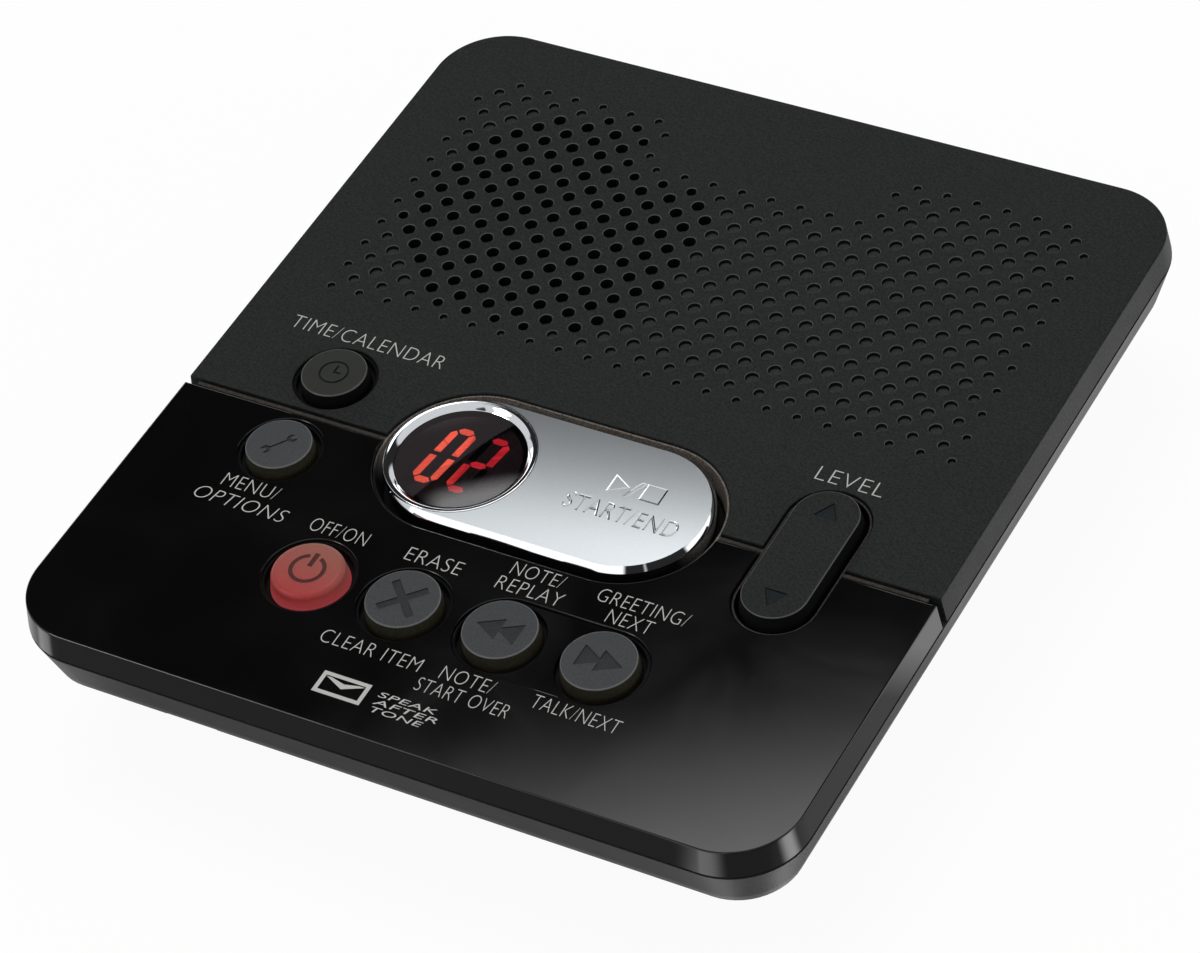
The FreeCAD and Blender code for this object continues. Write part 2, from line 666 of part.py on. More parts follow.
def base():
    """Skirt, tub, upright rim, screw towers, board posts and socket windows."""
    lower = COVER_FLARE - SKIRT_TAPER
    skirt = deck_loft([(SKIRT_Z, lower - SKIRT_BEVEL), (SKIRT_Z + SKIRT_BEVEL, lower), (RIM_Z, COVER_FLARE)])
    tongue = deck_block(-TONGUE_OUT, RIM_Z - 1, FRAME_Z)
    shell = fuse_all([skirt, tongue, tub_block(0.0, TUB_Z, SKIRT_Z + 1)])
    shell = shell.cut([deck_block(-TONGUE_IN, SKIRT_Z + SKIRT_FLOOR, FRAME_Z + 1)])
    shell = shell.cut([tub_block(TUB_WALL, TUB_FLOOR_Z, SKIRT_Z + SKIRT_FLOOR + 1)])

    towers = [post(x, y, TUB_Z, BOSS_JOINT_Z, BOSS_R) for x, y in housing_points()]
    for x, y in board_points():
        foot = TUB_Z if abs(x) < TUB_HALF_W - TUB_WALL else SKIRT_Z
        towers.append(post(x, y, foot + 0.5, BOARD_Z, POST_R))
    towers += [post(x, y, TUB_Z + 0.5, LINE_BOARD_Z, POST_R) for x, y in line_points()]
    shell = fuse_all([shell] + towers)

    cutters = socket_windows()
    for x, y in housing_points():
        cutters.append(post(x, y, TUB_Z - 1, BOSS_JOINT_Z - TOWER_CAP, SCREW_HEAD_R + SEAT_GAP))
        cutters.append(post(x, y, BOSS_JOINT_Z - TOWER_CAP - 1, BOSS_JOINT_Z + 1, SCREW_R + SEAT_GAP))
    cutters += [post(x, y, SKIRT_Z + 0.8, BOARD_Z + 1, SCREW_R) for x, y in board_points()]
    cutters += [post(x, y, TUB_Z + 0.8, LINE_BOARD_Z + 1, SCREW_R) for x, y in line_points()]
    notch_front = -DECK_D / 2 - 1
    notch_x0, notch_x1 = NOTCH_X - NOTCH_W / 2, NOTCH_X + NOTCH_W / 2
    notch_rear = -(DECK_D / 2 - TONGUE_IN)
    cutters.append(box(notch_x0, notch_front, SKIRT_Z - 1, notch_x1, notch_rear, SKIRT_Z + NOTCH_H))
    cutters.append(mic_slot(SEAT_GAP))
    return {"base": shell.cut(cutters)}


def feet():
    """Four rubber feet."""
    pads = [cylinder(x, y, 0.0, TUB_Z, FOOT_R) for x, y in foot_points()]
    return {"rubber_feet": Part.makeCompound(pads)}


# ---- keys -------------------------------------------------------------------------------------
def round_key(x, y, top_r, stem_y):
    """Cap with a drafted side, a rim below that holds it in, and a stem on its dome."""
    low_r = key_radius_below(top_r)
    top = DECK_Z + KEY_PROUD
    rim_top = FRAME_Z - FIT
    rim_z = rim_top - KEY_FLANGE
    rim_r = low_r + KEY_FLANGE
    rim = [(0, rim_z), (rim_r, rim_z), (rim_r, rim_top), (low_r, rim_top)]
    outline = rim + [(low_r, FRAME_TOP), (top_r, top), (0, top)]
    return revolve(x, y, outline).fuse(cross_stem(x, stem_y, DOME_TOP, rim_z + 0.2))


def play_key():
    """Bar with a bevelled edge, bitten out round the display ring."""
    top = DECK_Z + PLAY_PROUD
    shoulder = top - PLAY_BEVEL_H
    lower = POCKET_Z + PLAY_LIFT
    levels = [(lower, PLAY_KEY_R), (shoulder, PLAY_KEY_R), (top, PLAY_KEY_R - PLAY_BEVEL_W)]
    bar = stadium(0, GROOVE_Y, PLAY_END, levels)
    bite_r = RING_R + RING_GAP
    reach = PLAY_END + PLAY_KEY_R + 1
    left_of_tips = box(-reach, GROOVE_Y - reach, lower - 1, PLAY_TIP_X, GROOVE_Y + reach, top + 1)
    bar = bar.cut([cylinder(DISPLAY_X, GROOVE_Y, lower - 1, top + 1, bite_r), left_of_tips])
    hollow_r = PLAY_KEY_R - KEY_CAP
    ceiling = top - KEY_CAP
    hollow = stadium(0, GROOVE_Y, PLAY_END, [(lower - 1, hollow_r), (ceiling, hollow_r)])
    left_of_bite = box(-reach, GROOVE_Y - reach, lower - 2, DISPLAY_X, GROOVE_Y + reach, top)
    hollow = hollow.cut([cylinder(DISPLAY_X, GROOVE_Y, lower - 2, top, bite_r + KEY_CAP), left_of_bite])
    parts = [bar.cut(hollow), cross_stem(PLAY_STEM_X, GROOVE_Y, DOME_TOP, ceiling + 0.2)]
    floor_z = POCKET_Z - FRAME_T
    for x in PLAY_CLIP_X:
        side = 1 if x > PLAY_STEM_X else -1
        parts.append(clip_leg(x, side, floor_z - FIT, ceiling + 0.2))
    return fuse_all(parts)


def clip_leg(x, side, hook_top, leg_top):
    """Leg with a hook that catches under the pocket's floor."""
    half = CLIP_W / 2
    hook_z = hook_top - CLIP_HOOK
    leg = box(x - CLIP_T / 2, GROOVE_Y - half, hook_z, x + CLIP_T / 2, GROOVE_Y + half, leg_top)
    x0, x1 = sorted((x, x + side * (CLIP_T / 2 + CLIP_HOOK)))
    return leg.fuse(box(x0, GROOVE_Y - half, hook_z, x1, GROOVE_Y + half, hook_top))


def volume_rocker():
    """Two-way rocker with a central web on its pin and a foot over each dome."""
    top = DECK_Z + ROCKER_PROUD
    lower = FRAME_Z - 0.4
    waist = FRAME_TOP
    outer = [(lower, ROCKER_BASE_R), (waist, ROCKER_BASE_R), (top, ROCKER_TOP_R)]
    half = ROCKER_END - ROCKER_END_GAP
    body = stadium(SIDE_X, GROOVE_Y, half, outer, True)
    inner_r = ROCKER_TOP_R - KEY_WALL
    ceiling = top - KEY_CAP
    body = body.cut(stadium(SIDE_X, GROOVE_Y, half, [(lower - 1, inner_r), (ceiling, inner_r)], True))
    pivot_z = DECK_Z - PIVOT_DROP
    web_x, web_y, web_z = ROCKER_TOP_R, PIN_R + KEY_WALL, pivot_z - PIN_R - ROCKER_SKIN
    web = box(SIDE_X - web_x, GROOVE_Y - web_y, web_z, SIDE_X + web_x, GROOVE_Y + web_y, ceiling + 0.2)
    stems = [cross_stem(SIDE_X, GROOVE_Y + side * ROCKER_FOOT, DOME_TOP, ceiling + 0.2) for side in (-1, 1)]
    return fuse_all([body, web] + stems).cut(cross_pin(PIN_R + FIT, ROCKER_BASE_R))


def keys():
    """All that a finger presses, and the rocker's pin."""
    nodes = {}
    for name, x in ROW_KEYS.items():
        stem_y = ROW_Y - LAMP_OFFSET if name == "power_key" else ROW_Y
        nodes[name] = round_key(x, ROW_Y, ROW_KEY_R, stem_y)
    for name, y in SIDE_KEYS.items():
        nodes[name] = round_key(-SIDE_X, y, SIDE_KEY_R, y)
    nodes["play_key"] = play_key()
    nodes["volume_rocker"] = volume_rocker()
    nodes["rocker_pin"] = cross_pin(PIN_R, PIN_HALF)
    return nodes


def dome_points():
    """Places of the rubber domes, one under each stem and foot."""
    points = [(x, ROW_Y - LAMP_OFFSET if name == "power_key" else ROW_Y) for name, x in ROW_KEYS.items()]
    points += [(-SIDE_X, y) for y in SIDE_KEYS.values()]
    points += [(SIDE_X, GROOVE_Y + side * ROCKER_FOOT) for side in (-1, 1)]
    points.append((PLAY_STEM_X, GROOVE_Y))
    return points


def key_mat():
    """Rubber mat with a hollow dome under each key."""
    side, front, rear = MAT_INSET
    edge = BOARD_HALF_W - side
    sheet = box(-edge, BOARD_FRONT + front, BOARD_TOP, edge, BOARD_REAR - rear, MAT_TOP)
    below, above = BOARD_TOP - 1, MAT_TOP + 1
    holes = [post(x, y, below, above, BOSS_R + MAT_GAP) for x, y in housing_points()]
    holes += [post(x, y, below, above, SCREW_HEAD_R + MAT_GAP) for x, y in board_points()]
    holes += [post(x, GROOVE_Y, below, above, CLIP_W / 2 + 2 * MAT_GAP) for x in PLAY_CLIP_X]
    holes.append(post(ROW_KEYS["power_key"], ROW_Y + LAMP_OFFSET, below, above, LAMP_R + MAT_GAP))
    half = MODULE_SIDE / 2 + MAT_GAP
    holes.append(box(DISPLAY_X - half, GROOVE_Y - half, below, DISPLAY_X + half, GROOVE_Y + half, above))
    points = dome_points()
    domes = [post(x, y, MAT_TOP, DOME_TOP, DOME_R) for x, y in points]
    hollows = [post(x, y, BOARD_TOP, DOME_TOP - DOME_CROWN, DOME_R - DOME_WALL) for x, y in points]
    return {"key_mat": fuse_all([sheet.cut(holes)] + domes).cut(hollows)}


# ---- display ----------------------------------------------------------------------------------
def display_ring():
    """Polished ring with a sloping inner wall and a seat for the lens."""
    top = DECK_Z + PLAY_PROUD
    seat = DECK_Z - LENS_SEAT
    bore_r = LENS_R - LENS_SHELF
    outline = [
        (RING_R, POCKET_Z), (RING_R, top), (RING_R - RING_LAND, top), (LENS_R, seat + LENS_T),
        (LENS_R, seat), (bore_r, seat), (bore_r, POCKET_Z),
    ]
    return revolve(DISPLAY_X, GROOVE_Y, outline)


def display_lens():
    """Clear smoked disc with a shallow crown."""
    seat = DECK_Z - LENS_SEAT
    rim = seat + LENS_T
    crown = rim + LENS_CROWN
    radius = LENS_R - FIT
    outline = [(0, seat), (radius, seat), (radius, rim), (radius * 0.6, crown), (0, crown)]
    return revolve(DISPLAY_X, GROOVE_Y, outline)


def segment_outlines():
    """Corner points of the seven bars a to g of one digit, about the digit's middle."""
    half_h, half_w, half_bar = (DIGIT_H - SEGMENT_W) / 2, (DIGIT_W - 1.4 - SEGMENT_W) / 2, SEGMENT_W / 2
    gap = SEGMENT_GAP / 2
    places = {
        "a": (0.0, half_h, half_w, False),
        "g": (0.0, 0.0, half_w, False),
        "d": (0.0, -half_h, half_w, False),
        "f": (-half_w, half_h / 2, half_h / 2, True), "b": (half_w, half_h / 2, half_h / 2, True),
        "e": (-half_w, -half_h / 2, half_h / 2, True), "c": (half_w, -half_h / 2, half_h / 2, True),
    }
    outlines = {}
    for name, (x, y, half, upright) in places.items():
        tip, shoulder = half - gap, half - gap - half_bar
        near = [(-tip, 0), (-shoulder, -half_bar), (shoulder, -half_bar)]
        bar = near + [(tip, 0), (shoulder, half_bar), (-shoulder, half_bar)]
        outlines[name] = [(x + v, y + u) if upright else (x + u, y + v) for u, v in bar]
    return outlines


def digit_segments(names, x):
    """The named bars of one slanted digit as thin plates."""
    lean = math.tan(math.radians(DIGIT_SLANT))
    z = DECK_Z - LENS_SEAT - SEGMENT_T
    plates = []
    for name, outline in segment_outlines().items():
        if name in names:
            ring = [Vector(DISPLAY_X + x + u + lean * v, GROOVE_Y + v, z) for u, v in outline]
            plates.append(Part.Face(Part.makePolygon(ring + ring[:1])).extrude(Vector(0, 0, SEGMENT_T)))
    return plates


def display():
    """Ring, lens, module and its bars, those that light up in a node of their own."""
    half = MODULE_SIDE / 2
    face_z = DECK_Z - LENS_SEAT - SEGMENT_T
    module = box(DISPLAY_X - half, GROOVE_Y - half, BOARD_TOP, DISPLAY_X + half, GROOVE_Y + half, face_z)
    left, right = -DIGIT_PITCH / 2, DIGIT_PITCH / 2
    lit = digit_segments("abcdef", left) + digit_segments("abged", right)
    unlit = digit_segments("g", left) + digit_segments("cf", right)
    return {
        "display_ring": display_ring(),
        "display_lens": display_lens(),
        "display_module": module,
        "lit_segments": Part.makeCompound(lit),
        "unlit_segments": Part.makeCompound(unlit),
    }


# ---- speaker ----------------------------------------------------------------------------------
def speaker():
    """Moving-coil speaker that hangs face up from the frame."""
    top = SPEAKER_TOP
    flange_z = top - BASKET_T
    rim_in = SPEAKER_R - SPEAKER_RIM
    magnet_z = top - SPEAKER_DEPTH
    magnet_top = magnet_z + MAGNET_H
    floor = magnet_top + BASKET_T
    basket = [
        (SPEAKER_R, flange_z), (SPEAKER_R, top), (rim_in - BASKET_T, top), (rim_in - BASKET_T, floor),
        (CAP_R, floor), (CAP_R, magnet_top), (rim_in, magnet_top), (rim_in, flange_z),
    ]
    cap_z = floor + CONE_LIFT
    cone_outline = [
        (rim_in + 0.5, top), (rim_in + 0.5, top + PAPER_T), (rim_in - ROLL_W, top + PAPER_T),
        (CAP_R, cap_z), (CAP_R, cap_z - PAPER_T), (rim_in - ROLL_W, top),
    ]
    cap = cylinder(SPEAKER_X, SPEAKER_Y, magnet_top, cap_z + CAP_H, CAP_R)
    tag_y = TAG_W / 2
    tag = box(rim_in, -tag_y, flange_z - TAG_H, rim_in + TAG_T, tag_y, flange_z)
    return {
        "speaker_basket": revolve(SPEAKER_X, SPEAKER_Y, basket),
        "speaker_cone": revolve(SPEAKER_X, SPEAKER_Y, cone_outline),
        "speaker_dust_cap": cap,
        "speaker_magnet": cylinder(SPEAKER_X, SPEAKER_Y, magnet_z, magnet_top, MAGNET_R),
        "speaker_terminal": tag.translated(Vector(SPEAKER_X, SPEAKER_Y, 0)),
    }


# ---- electronics ------------------------------------------------------------------------------
def standing(x, y, z, size):
    """Block of the given width, depth and height, centred on x and y, on the level z."""
    width, depth, height = size
    return box(x - width / 2, y - depth / 2, z, x + width / 2, y + depth / 2, z + height)


def key_board():
    """Board under the keys, with what is soldered to its underside."""
    board = box(-BOARD_HALF_W, BOARD_FRONT, BOARD_Z, BOARD_HALF_W, BOARD_REAR, BOARD_TOP)
    holes = [post(x, y, BOARD_Z - 1, BOARD_TOP + 1, BOSS_R + SEAT_GAP) for x, y in housing_points()]
    holes += [post(x, y, BOARD_Z - 1, BOARD_TOP + 1, SCREW_R + SEAT_GAP) for x, y in board_points()]
    row_y = GROOVE_Y - CHIP_ROW
    memory_x = -(POST_R + CHIP_TO_POST + MEMORY[0] / 2)
    processor_x = memory_x - (PROCESSOR[0] + MEMORY[0]) / 2 - PART_SPACE
    crystal_y = row_y + (PROCESSOR[1] + CRYSTAL[1]) / 2 + PART_SPACE
    first_can = memory_x + MEMORY[0] / 2 + 5 * PART_SPACE
    cans = [first_can + i * CAN_PITCH for i in range(3)]
    caps = [post(x, row_y, BOARD_Z - CAN_H, BOARD_Z, CAN_R, CAN_SIDES) for x in cans]
    lamp_x, lamp_y = ROW_KEYS["power_key"], ROW_Y + LAMP_OFFSET
    return {
        "key_board": board.cut(holes),
        "processor_chip": standing(processor_x, row_y, BOARD_Z - PROCESSOR[2], PROCESSOR),
        "memory_chip": standing(memory_x, row_y, BOARD_Z - MEMORY[2], MEMORY),
        "crystal": standing(processor_x, crystal_y, BOARD_Z - CRYSTAL[2], CRYSTAL),
        "board_capacitors": Part.makeCompound(caps),
        "power_lamp": cylinder(lamp_x, lamp_y, BOARD_TOP, BOARD_TOP + LAMP_H, LAMP_R),
    }


def board_header():
    """Row of pins that joins the two boards, in a strip on the lower one."""
    x = LINE_JACK_X - PART_SPACE
    y = BOARD_REAR - PART_SPACE
    first = x - (HEADER_PINS - 1) / 2 * HEADER_PITCH
    size = (HEADER_PIN, HEADER_PIN, BOARD_Z - LINE_BOARD_TOP)
    pins = [standing(first + i * HEADER_PITCH, y, LINE_BOARD_TOP, size) for i in range(HEADER_PINS)]
    return fuse_all([standing(x, y, LINE_BOARD_TOP, STRIP)] + pins)


def line_board():
    """Board over the tub's floor that carries the sockets and the line interface."""
    top = LINE_BOARD_TOP
    board = box(LINE_LEFT, LINE_FRONT, LINE_BOARD_Z, LINE_RIGHT, LINE_REAR, top)
    holes = [post(x, y, LINE_BOARD_Z - 1, top + 1, SCREW_R + SEAT_GAP) for x, y in line_points()]
    middle_x = (LINE_JACK_X + PHONE_JACK_X) / 2
    transformer_y = LINE_REAR - JACK_L - PART_SPACE - WINDING[1]
    relay_x = LINE_LEFT + RELAY[0]
    core = standing(middle_x, transformer_y, top, TRANSFORMER)
    winding_z = top + (TRANSFORMER[2] - WINDING[2]) / 2
    bulk_x = relay_x + RELAY[0] / 2 + BULK_R + PART_SPACE / 2
    bulk_y = transformer_y - WINDING[1] / 2 - PART_SPACE - BULK_R
    return {
        "line_board": board.cut(holes),
        "line_transformer": core.fuse(standing(middle_x, transformer_y, winding_z, WINDING)),
        "line_relay": standing(relay_x, transformer_y, top, RELAY),
        "bulk_capacitor": post(bulk_x, bulk_y, top, top + BULK_H, BULK_R, CAN_SIDES),
        "board_header": board_header(),
    }


def modular_jack(x):
    """Telephone jack with its socket and the latch's slot open to the rear."""
    y1 = TUB_REAR
    shoulder = y1 - TUB_WALL
    half_w, half_nose, half_socket = JACK_W / 2, NOSE_W / 2, SOCKET_W / 2
    body = box(x - half_w, y1 - JACK_L, JACK_Z, x + half_w, shoulder, JACK_Z + JACK_H)
    nose = box(x - half_nose, shoulder - 1, SOCKET_Z - NOSE_H / 2, x + half_nose, y1, SOCKET_Z + NOSE_H / 2)
    floor = SOCKET_Z - SOCKET_H / 2 + SOCKET_LIFT
    socket = box(x - half_socket, y1 - SOCKET_L, floor, x + half_socket, y1 + 1, floor + SOCKET_H)
    latch = box(x - LATCH_W / 2, y1 - SOCKET_L, floor - LATCH_H, x + LATCH_W / 2, y1 + 1, floor + 1)
    return fuse_all([body, nose]).cut([socket, latch])


def jack_wires(x):
    """Sprung wires along the roof of a jack's socket."""
    roof = SOCKET_Z + SOCKET_H / 2 + SOCKET_LIFT
    y0 = TUB_REAR - SOCKET_L
    first = x - (WIRES - 1) / 2 * WIRE_PITCH - WIRE_T / 2
    starts = [first + i * WIRE_PITCH for i in range(WIRES)]
    return [box(u, y0, roof - WIRE_H, u + WIRE_T, y0 + 0.75 * SOCKET_L, roof) for u in starts]


def sockets():
    """Line jack, phone jack and power socket on the line board's rear edge."""
    y1 = TUB_REAR
    shoulder = y1 - TUB_WALL
    axis = Vector(0, 1, 0)
    body = box(DC_X - DC_W / 2, y1 - DC_L, JACK_Z, DC_X + DC_W / 2, shoulder, JACK_Z + DC_H)
    nose = Part.makeCylinder(DC_NOSE_R, TUB_WALL + 1, Vector(DC_X, shoulder - 1, SOCKET_Z), axis)
    bore = Part.makeCylinder(DC_BORE_R, DC_L, Vector(DC_X, y1 - DC_L + DC_FLOOR, SOCKET_Z), axis)
    pin_start = Vector(DC_X, y1 - DC_L + DC_FLOOR, SOCKET_Z)
    pin = Part.makeCylinder(DC_PIN_R, DC_L - DC_FLOOR - 1, pin_start, axis)
    return {
        "line_jack": modular_jack(LINE_JACK_X),
        "phone_jack": modular_jack(PHONE_JACK_X),
        "jack_wires": Part.makeCompound(jack_wires(LINE_JACK_X) + jack_wires(PHONE_JACK_X)),
        "power_socket": fuse_all([body, nose]).cut(bore),
        "power_socket_pin": pin,
    }


def microphone():
    """Capsule in a rubber boot whose nub comes through the skirt's floor."""
    x, y = mic_place()
    z0 = SKIRT_Z + SKIRT_FLOOR
    seat = z0 + MIC_WALL
    hollow = cylinder(x, y, seat, seat + MIC_H + 1, MIC_R)
    cup = cylinder(x, y, z0, seat + MIC_H, MIC_R + MIC_WALL).cut(hollow)
    return {
        "mic_boot": fuse_all([cup, mic_slot(0.0)]),
        "mic_capsule": cylinder(x, y, seat, seat + MIC_H, MIC_R),
    }


# ---- screws -----------------------------------------------------------------------------------
def screw(x, y, seat_z, length, upward):
    """Pan-head screw whose head bears on seat_z; its shank points up or down from there."""
    sign = 1 if upward else -1
    head = sorted((seat_z - sign * SCREW_HEAD_H, seat_z))
    shank = sorted((seat_z - sign * 0.2, seat_z + sign * length))
    body = post(x, y, shank[0], shank[1], SCREW_R - FIT)
    return body.fuse(post(x, y, head[0], head[1], SCREW_HEAD_R))


def screws():
    """All fasteners, grouped by what they hold."""
    board_length = BOARD_TOP - SKIRT_Z - 1.0
    line_length = LINE_BOARD_TOP - TUB_Z - 1.0
    speaker_z = SPEAKER_TOP - BASKET_T
    return {
        "housing_screws": Part.makeCompound(
            [screw(x, y, BOSS_JOINT_Z - TOWER_CAP, TOWER_CAP + 6.0, True) for x, y in housing_points()]
        ),
        "cover_screws": Part.makeCompound(
            [screw(x, y, FRAME_Z, FRAME_T + 0.4 * COVER_T, True) for x, y in cover_points()]
        ),
        "key_board_screws": Part.makeCompound(
            [screw(x, y, BOARD_TOP, board_length, False) for x, y in board_points()]
        ),
        "line_board_screws": Part.makeCompound(
            [screw(x, y, LINE_BOARD_TOP, line_length, False) for x, y in line_points()]
        ),
        "speaker_screws": Part.makeCompound(
            [screw(x, y, speaker_z, BASKET_T + 0.8, True) for x, y in speaker_points()]
        ),
    }


def main():
    """Build every sub-assembly and write one STEP file for each node."""
    os.makedirs("parts", exist_ok=True)
    nodes = {}
    for group in (
        covers, top_frame, base, feet, keys, key_mat, display, speaker, key_board, line_board, sockets,
        microphone, screws,
    ):
        nodes.update(group())
    for name, shape in nodes.items():
        shape.exportStep(f"parts/{name}.step")
        print(f"{name:20s} solids {len(shape.Solids):3d}  volume {shape.Volume:10.1f} mm3")


main()
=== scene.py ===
"""Looks of a digital answering machine: moulded covers, rubber keys, polished display ring and prints.

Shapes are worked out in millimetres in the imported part's own frame and become metres when a mesh is
made. Each sub-assembly is a class that builds its surfaces and dresses them.
"""
import logging
import math
from collections.abc import Callable
from dataclasses import dataclass, field
from enum import Enum

import bmesh
import bpy
import numpy as np
from mathutils import Matrix, Vector
from mathutils.geometry import delaunay_2d_cdt


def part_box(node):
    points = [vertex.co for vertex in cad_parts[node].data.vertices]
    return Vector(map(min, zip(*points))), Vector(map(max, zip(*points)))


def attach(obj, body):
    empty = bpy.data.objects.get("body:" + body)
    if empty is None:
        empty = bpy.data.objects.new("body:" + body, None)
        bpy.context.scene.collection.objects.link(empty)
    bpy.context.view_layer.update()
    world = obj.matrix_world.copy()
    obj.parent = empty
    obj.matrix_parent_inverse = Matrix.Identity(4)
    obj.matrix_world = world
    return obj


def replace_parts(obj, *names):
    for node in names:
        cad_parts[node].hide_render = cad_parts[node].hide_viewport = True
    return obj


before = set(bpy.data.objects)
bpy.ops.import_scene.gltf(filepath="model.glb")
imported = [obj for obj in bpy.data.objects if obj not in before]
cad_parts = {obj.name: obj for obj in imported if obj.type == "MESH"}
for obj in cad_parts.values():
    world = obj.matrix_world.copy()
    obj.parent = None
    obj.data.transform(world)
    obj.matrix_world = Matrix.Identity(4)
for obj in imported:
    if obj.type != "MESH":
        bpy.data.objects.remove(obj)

MM = 0.001
MERGE = 2e-6  # metres within which points are one
SLIVER = 5e-7  # metres below which an edge is dropped
ROUND_STEPS = 6  # points across the eased edge of a key
LATHE_STEPS = 160  # points round the display's parts

PLAY_HALF = 15.0  # straight run of the play key's slot, from its middle
PLAY_WELL_R = 15.7
ROCKER_HALF = 8.8
ROCKER_WELL_R = 7.2
ROW_WELL_R = 7.78
SIDE_WELL_R = 7.17

log = logging.getLogger("answering_machine")

Array = np.ndarray
Keep = Callable[[Array], Array]
Colour = tuple[float, float, float, float]
Material = bpy.types.Material
Socket = bpy.types.NodeSocket


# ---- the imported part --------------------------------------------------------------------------
@dataclass(frozen=True)
class Box:
    """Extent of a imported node, in millimetres."""

    low: Array
    high: Array

    @classmethod
    def of(cls, node: str) -> "Box":
        """Extent of the node of that name."""
        low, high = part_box(node)
        return cls(np.array(low) / MM, np.array(high) / MM)

    @property
    def middle(self) -> Array:
        """Centre of the extent."""
        return (self.low + self.high) / 2

    @property
    def spot(self) -> tuple[float, float]:
        """X and Y of the centre."""
        return float(self.middle[0]), float(self.middle[1])

    @property
    def radius(self) -> float:
        """Half the length along X."""
        return float(self.high[0] - self.low[0]) / 2

    @property
    def top(self) -> float:
        """Upper level."""
        return float(self.high[2])

    @property
    def foot(self) -> float:
        """Lower level."""
        return float(self.low[2])


class Side(Enum):
    """Which way a cover lies from the groove between the two covers."""

    FRONT = -1
    REAR = 1


@dataclass(frozen=True)
class Case:
    """Outline and levels of the case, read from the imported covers."""

    flare: float = 0.6
    corner: float = 12.0
    plate: float = 1.8
    wall: float = 1.8
    edge: float = 0.25
    ease: float = 0.2
    ledge: float = 0.5
    lip: float = 0.12
    arc_steps: int = 28

    @property
    def half_w(self) -> float:
        """Half the width of the top face."""
        return float(Box.of("front_cover").high[0]) - self.flare

    @property
    def half_d(self) -> float:
        """Half the depth of the top face."""
        return float(Box.of("rear_cover").high[1]) - self.flare

    @property
    def deck(self) -> float:
        """Level of the top face."""
        return Box.of("front_cover").top

    @property
    def parting(self) -> float:
        """Level of the covers' lower edge."""
        return Box.of("front_cover").foot

    def groove(self, side: Side) -> float:
        """Y of the edge that a cover has at the groove."""
        return float(Box.of("front_cover").high[1] if side is Side.FRONT else Box.of("rear_cover").low[1])

    def growth(self, depths: Array) -> Array:
        """How far the outline lies outside the top face's at each depth: the flare less the rounded edge."""
        share = (depths - self.edge) / (self.deck - self.parting - self.edge)
        return self.flare * np.clip(share, 0.0, 1.0) - rounding(depths, self.edge)

    def path(self, grow: float, cut: float, side: Side) -> Array:
        """Edge of one cover from the groove round its two corners and back.

        The top face's outline grown outward: a quarter circle of the corner's radius plus the growth
        at each corner, joined by straight runs.

        Args:
            grow: how far the outline lies outside the top face's outline.
            cut: Y at which the path starts and ends.
            side: the cover.

        Returns:
            Points in the plane, from the right end to the left end.
        """
        way = side.value
        radius, reach = self.corner + grow, self.half_w + grow
        x, y = self.half_w - self.corner, way * (self.half_d - self.corner)
        quarter = way * np.linspace(0.0, math.pi / 2, self.arc_steps)
        right = circle_points(x, y, radius, quarter)
        left = circle_points(-x, y, radius, quarter + way * math.pi / 2)
        return np.vstack([[reach, cut], right, left, [-reach, cut]])


# ---- outlines ---------------------------------------------------------------------------------
def circle_points(x: float, y: float, radius: float, angles: Array) -> Array:
    """Points of a circle: the centre plus the radius times (cosine, sine) of each angle."""
    return np.column_stack([x + radius * np.cos(angles), y + radius * np.sin(angles)])


def full_turn(steps: int) -> Array:
    """Equal angles round a circle."""
    return np.linspace(0.0, 2 * math.pi, steps, endpoint=False)


def rings(centres: Array, radii: Array, sides: int) -> Array:
    """Circles about many centres: each centre plus its radius times the points of the unit circle."""
    return centres[:, None, :] + radii[..., None, None] * circle_points(0.0, 0.0, 1.0, full_turn(sides))


def at_level(points: Array, level: float) -> Array:
    """Points of the plane put at a height."""
    return np.column_stack([points, np.full(len(points), level)])


def rounding(depth: Array, radius: float) -> Array:
    """Inset of a quarter-round edge at each depth below its top: r - sqrt(r^2 - (r - depth)^2)."""
    rest = np.clip(radius - depth, 0.0, radius)
    return radius - np.sqrt(radius**2 - rest**2)


def ease_depths(radius: float, steps: int = ROUND_STEPS) -> Array:
    """Depths at equal angles down a quarter-round edge: r (1 - cos t)."""
    return radius * (1.0 - np.cos(np.linspace(0.0, math.pi / 2, steps)))


def inside(points: Array, loops: list[Array]) -> Array:
    """Whether each point lies in an odd number of closed loops, by counting crossings to its right."""
    crossings = np.zeros(len(points), int)
    px, py = points[:, 0:1], points[:, 1:2]
    for loop in loops:
        (x0, y0), (x1, y1) = loop.T, np.roll(loop, -1, axis=0).T
        spans = (y0 > py) != (y1 > py)
        rise = np.where(y1 == y0, 1.0, y1 - y0)
        crossings += (spans & (px < (x1 - x0) * (py - y0) / rise + x0)).sum(axis=1)
    return crossings % 2 == 1


def soften(loop: Array, radius: float, steps: int = 4) -> Array:
    """Loop with each corner replaced by a curve between points at the radius along its two sides.

    The curve is a quadratic one: (1-t)^2 a + 2t(1-t) corner + t^2 b.

    Args:
        loop: corners of a closed polygon.
        radius: how far from the corner the curve starts.
        steps: points of each curve.

    Returns:
        The softened closed loop.
    """
    before, after = np.roll(loop, 1, axis=0) - loop, np.roll(loop, -1, axis=0) - loop
    a = loop + radius * before / np.linalg.norm(before, axis=1, keepdims=True)
    b = loop + radius * after / np.linalg.norm(after, axis=1, keepdims=True)
    t = np.linspace(0.0, 1.0, steps)[:, None, None]
    curve = (1 - t) ** 2 * a + 2 * t * (1 - t) * loop + t**2 * b
    return curve.transpose(1, 0, 2).reshape(-1, 2)


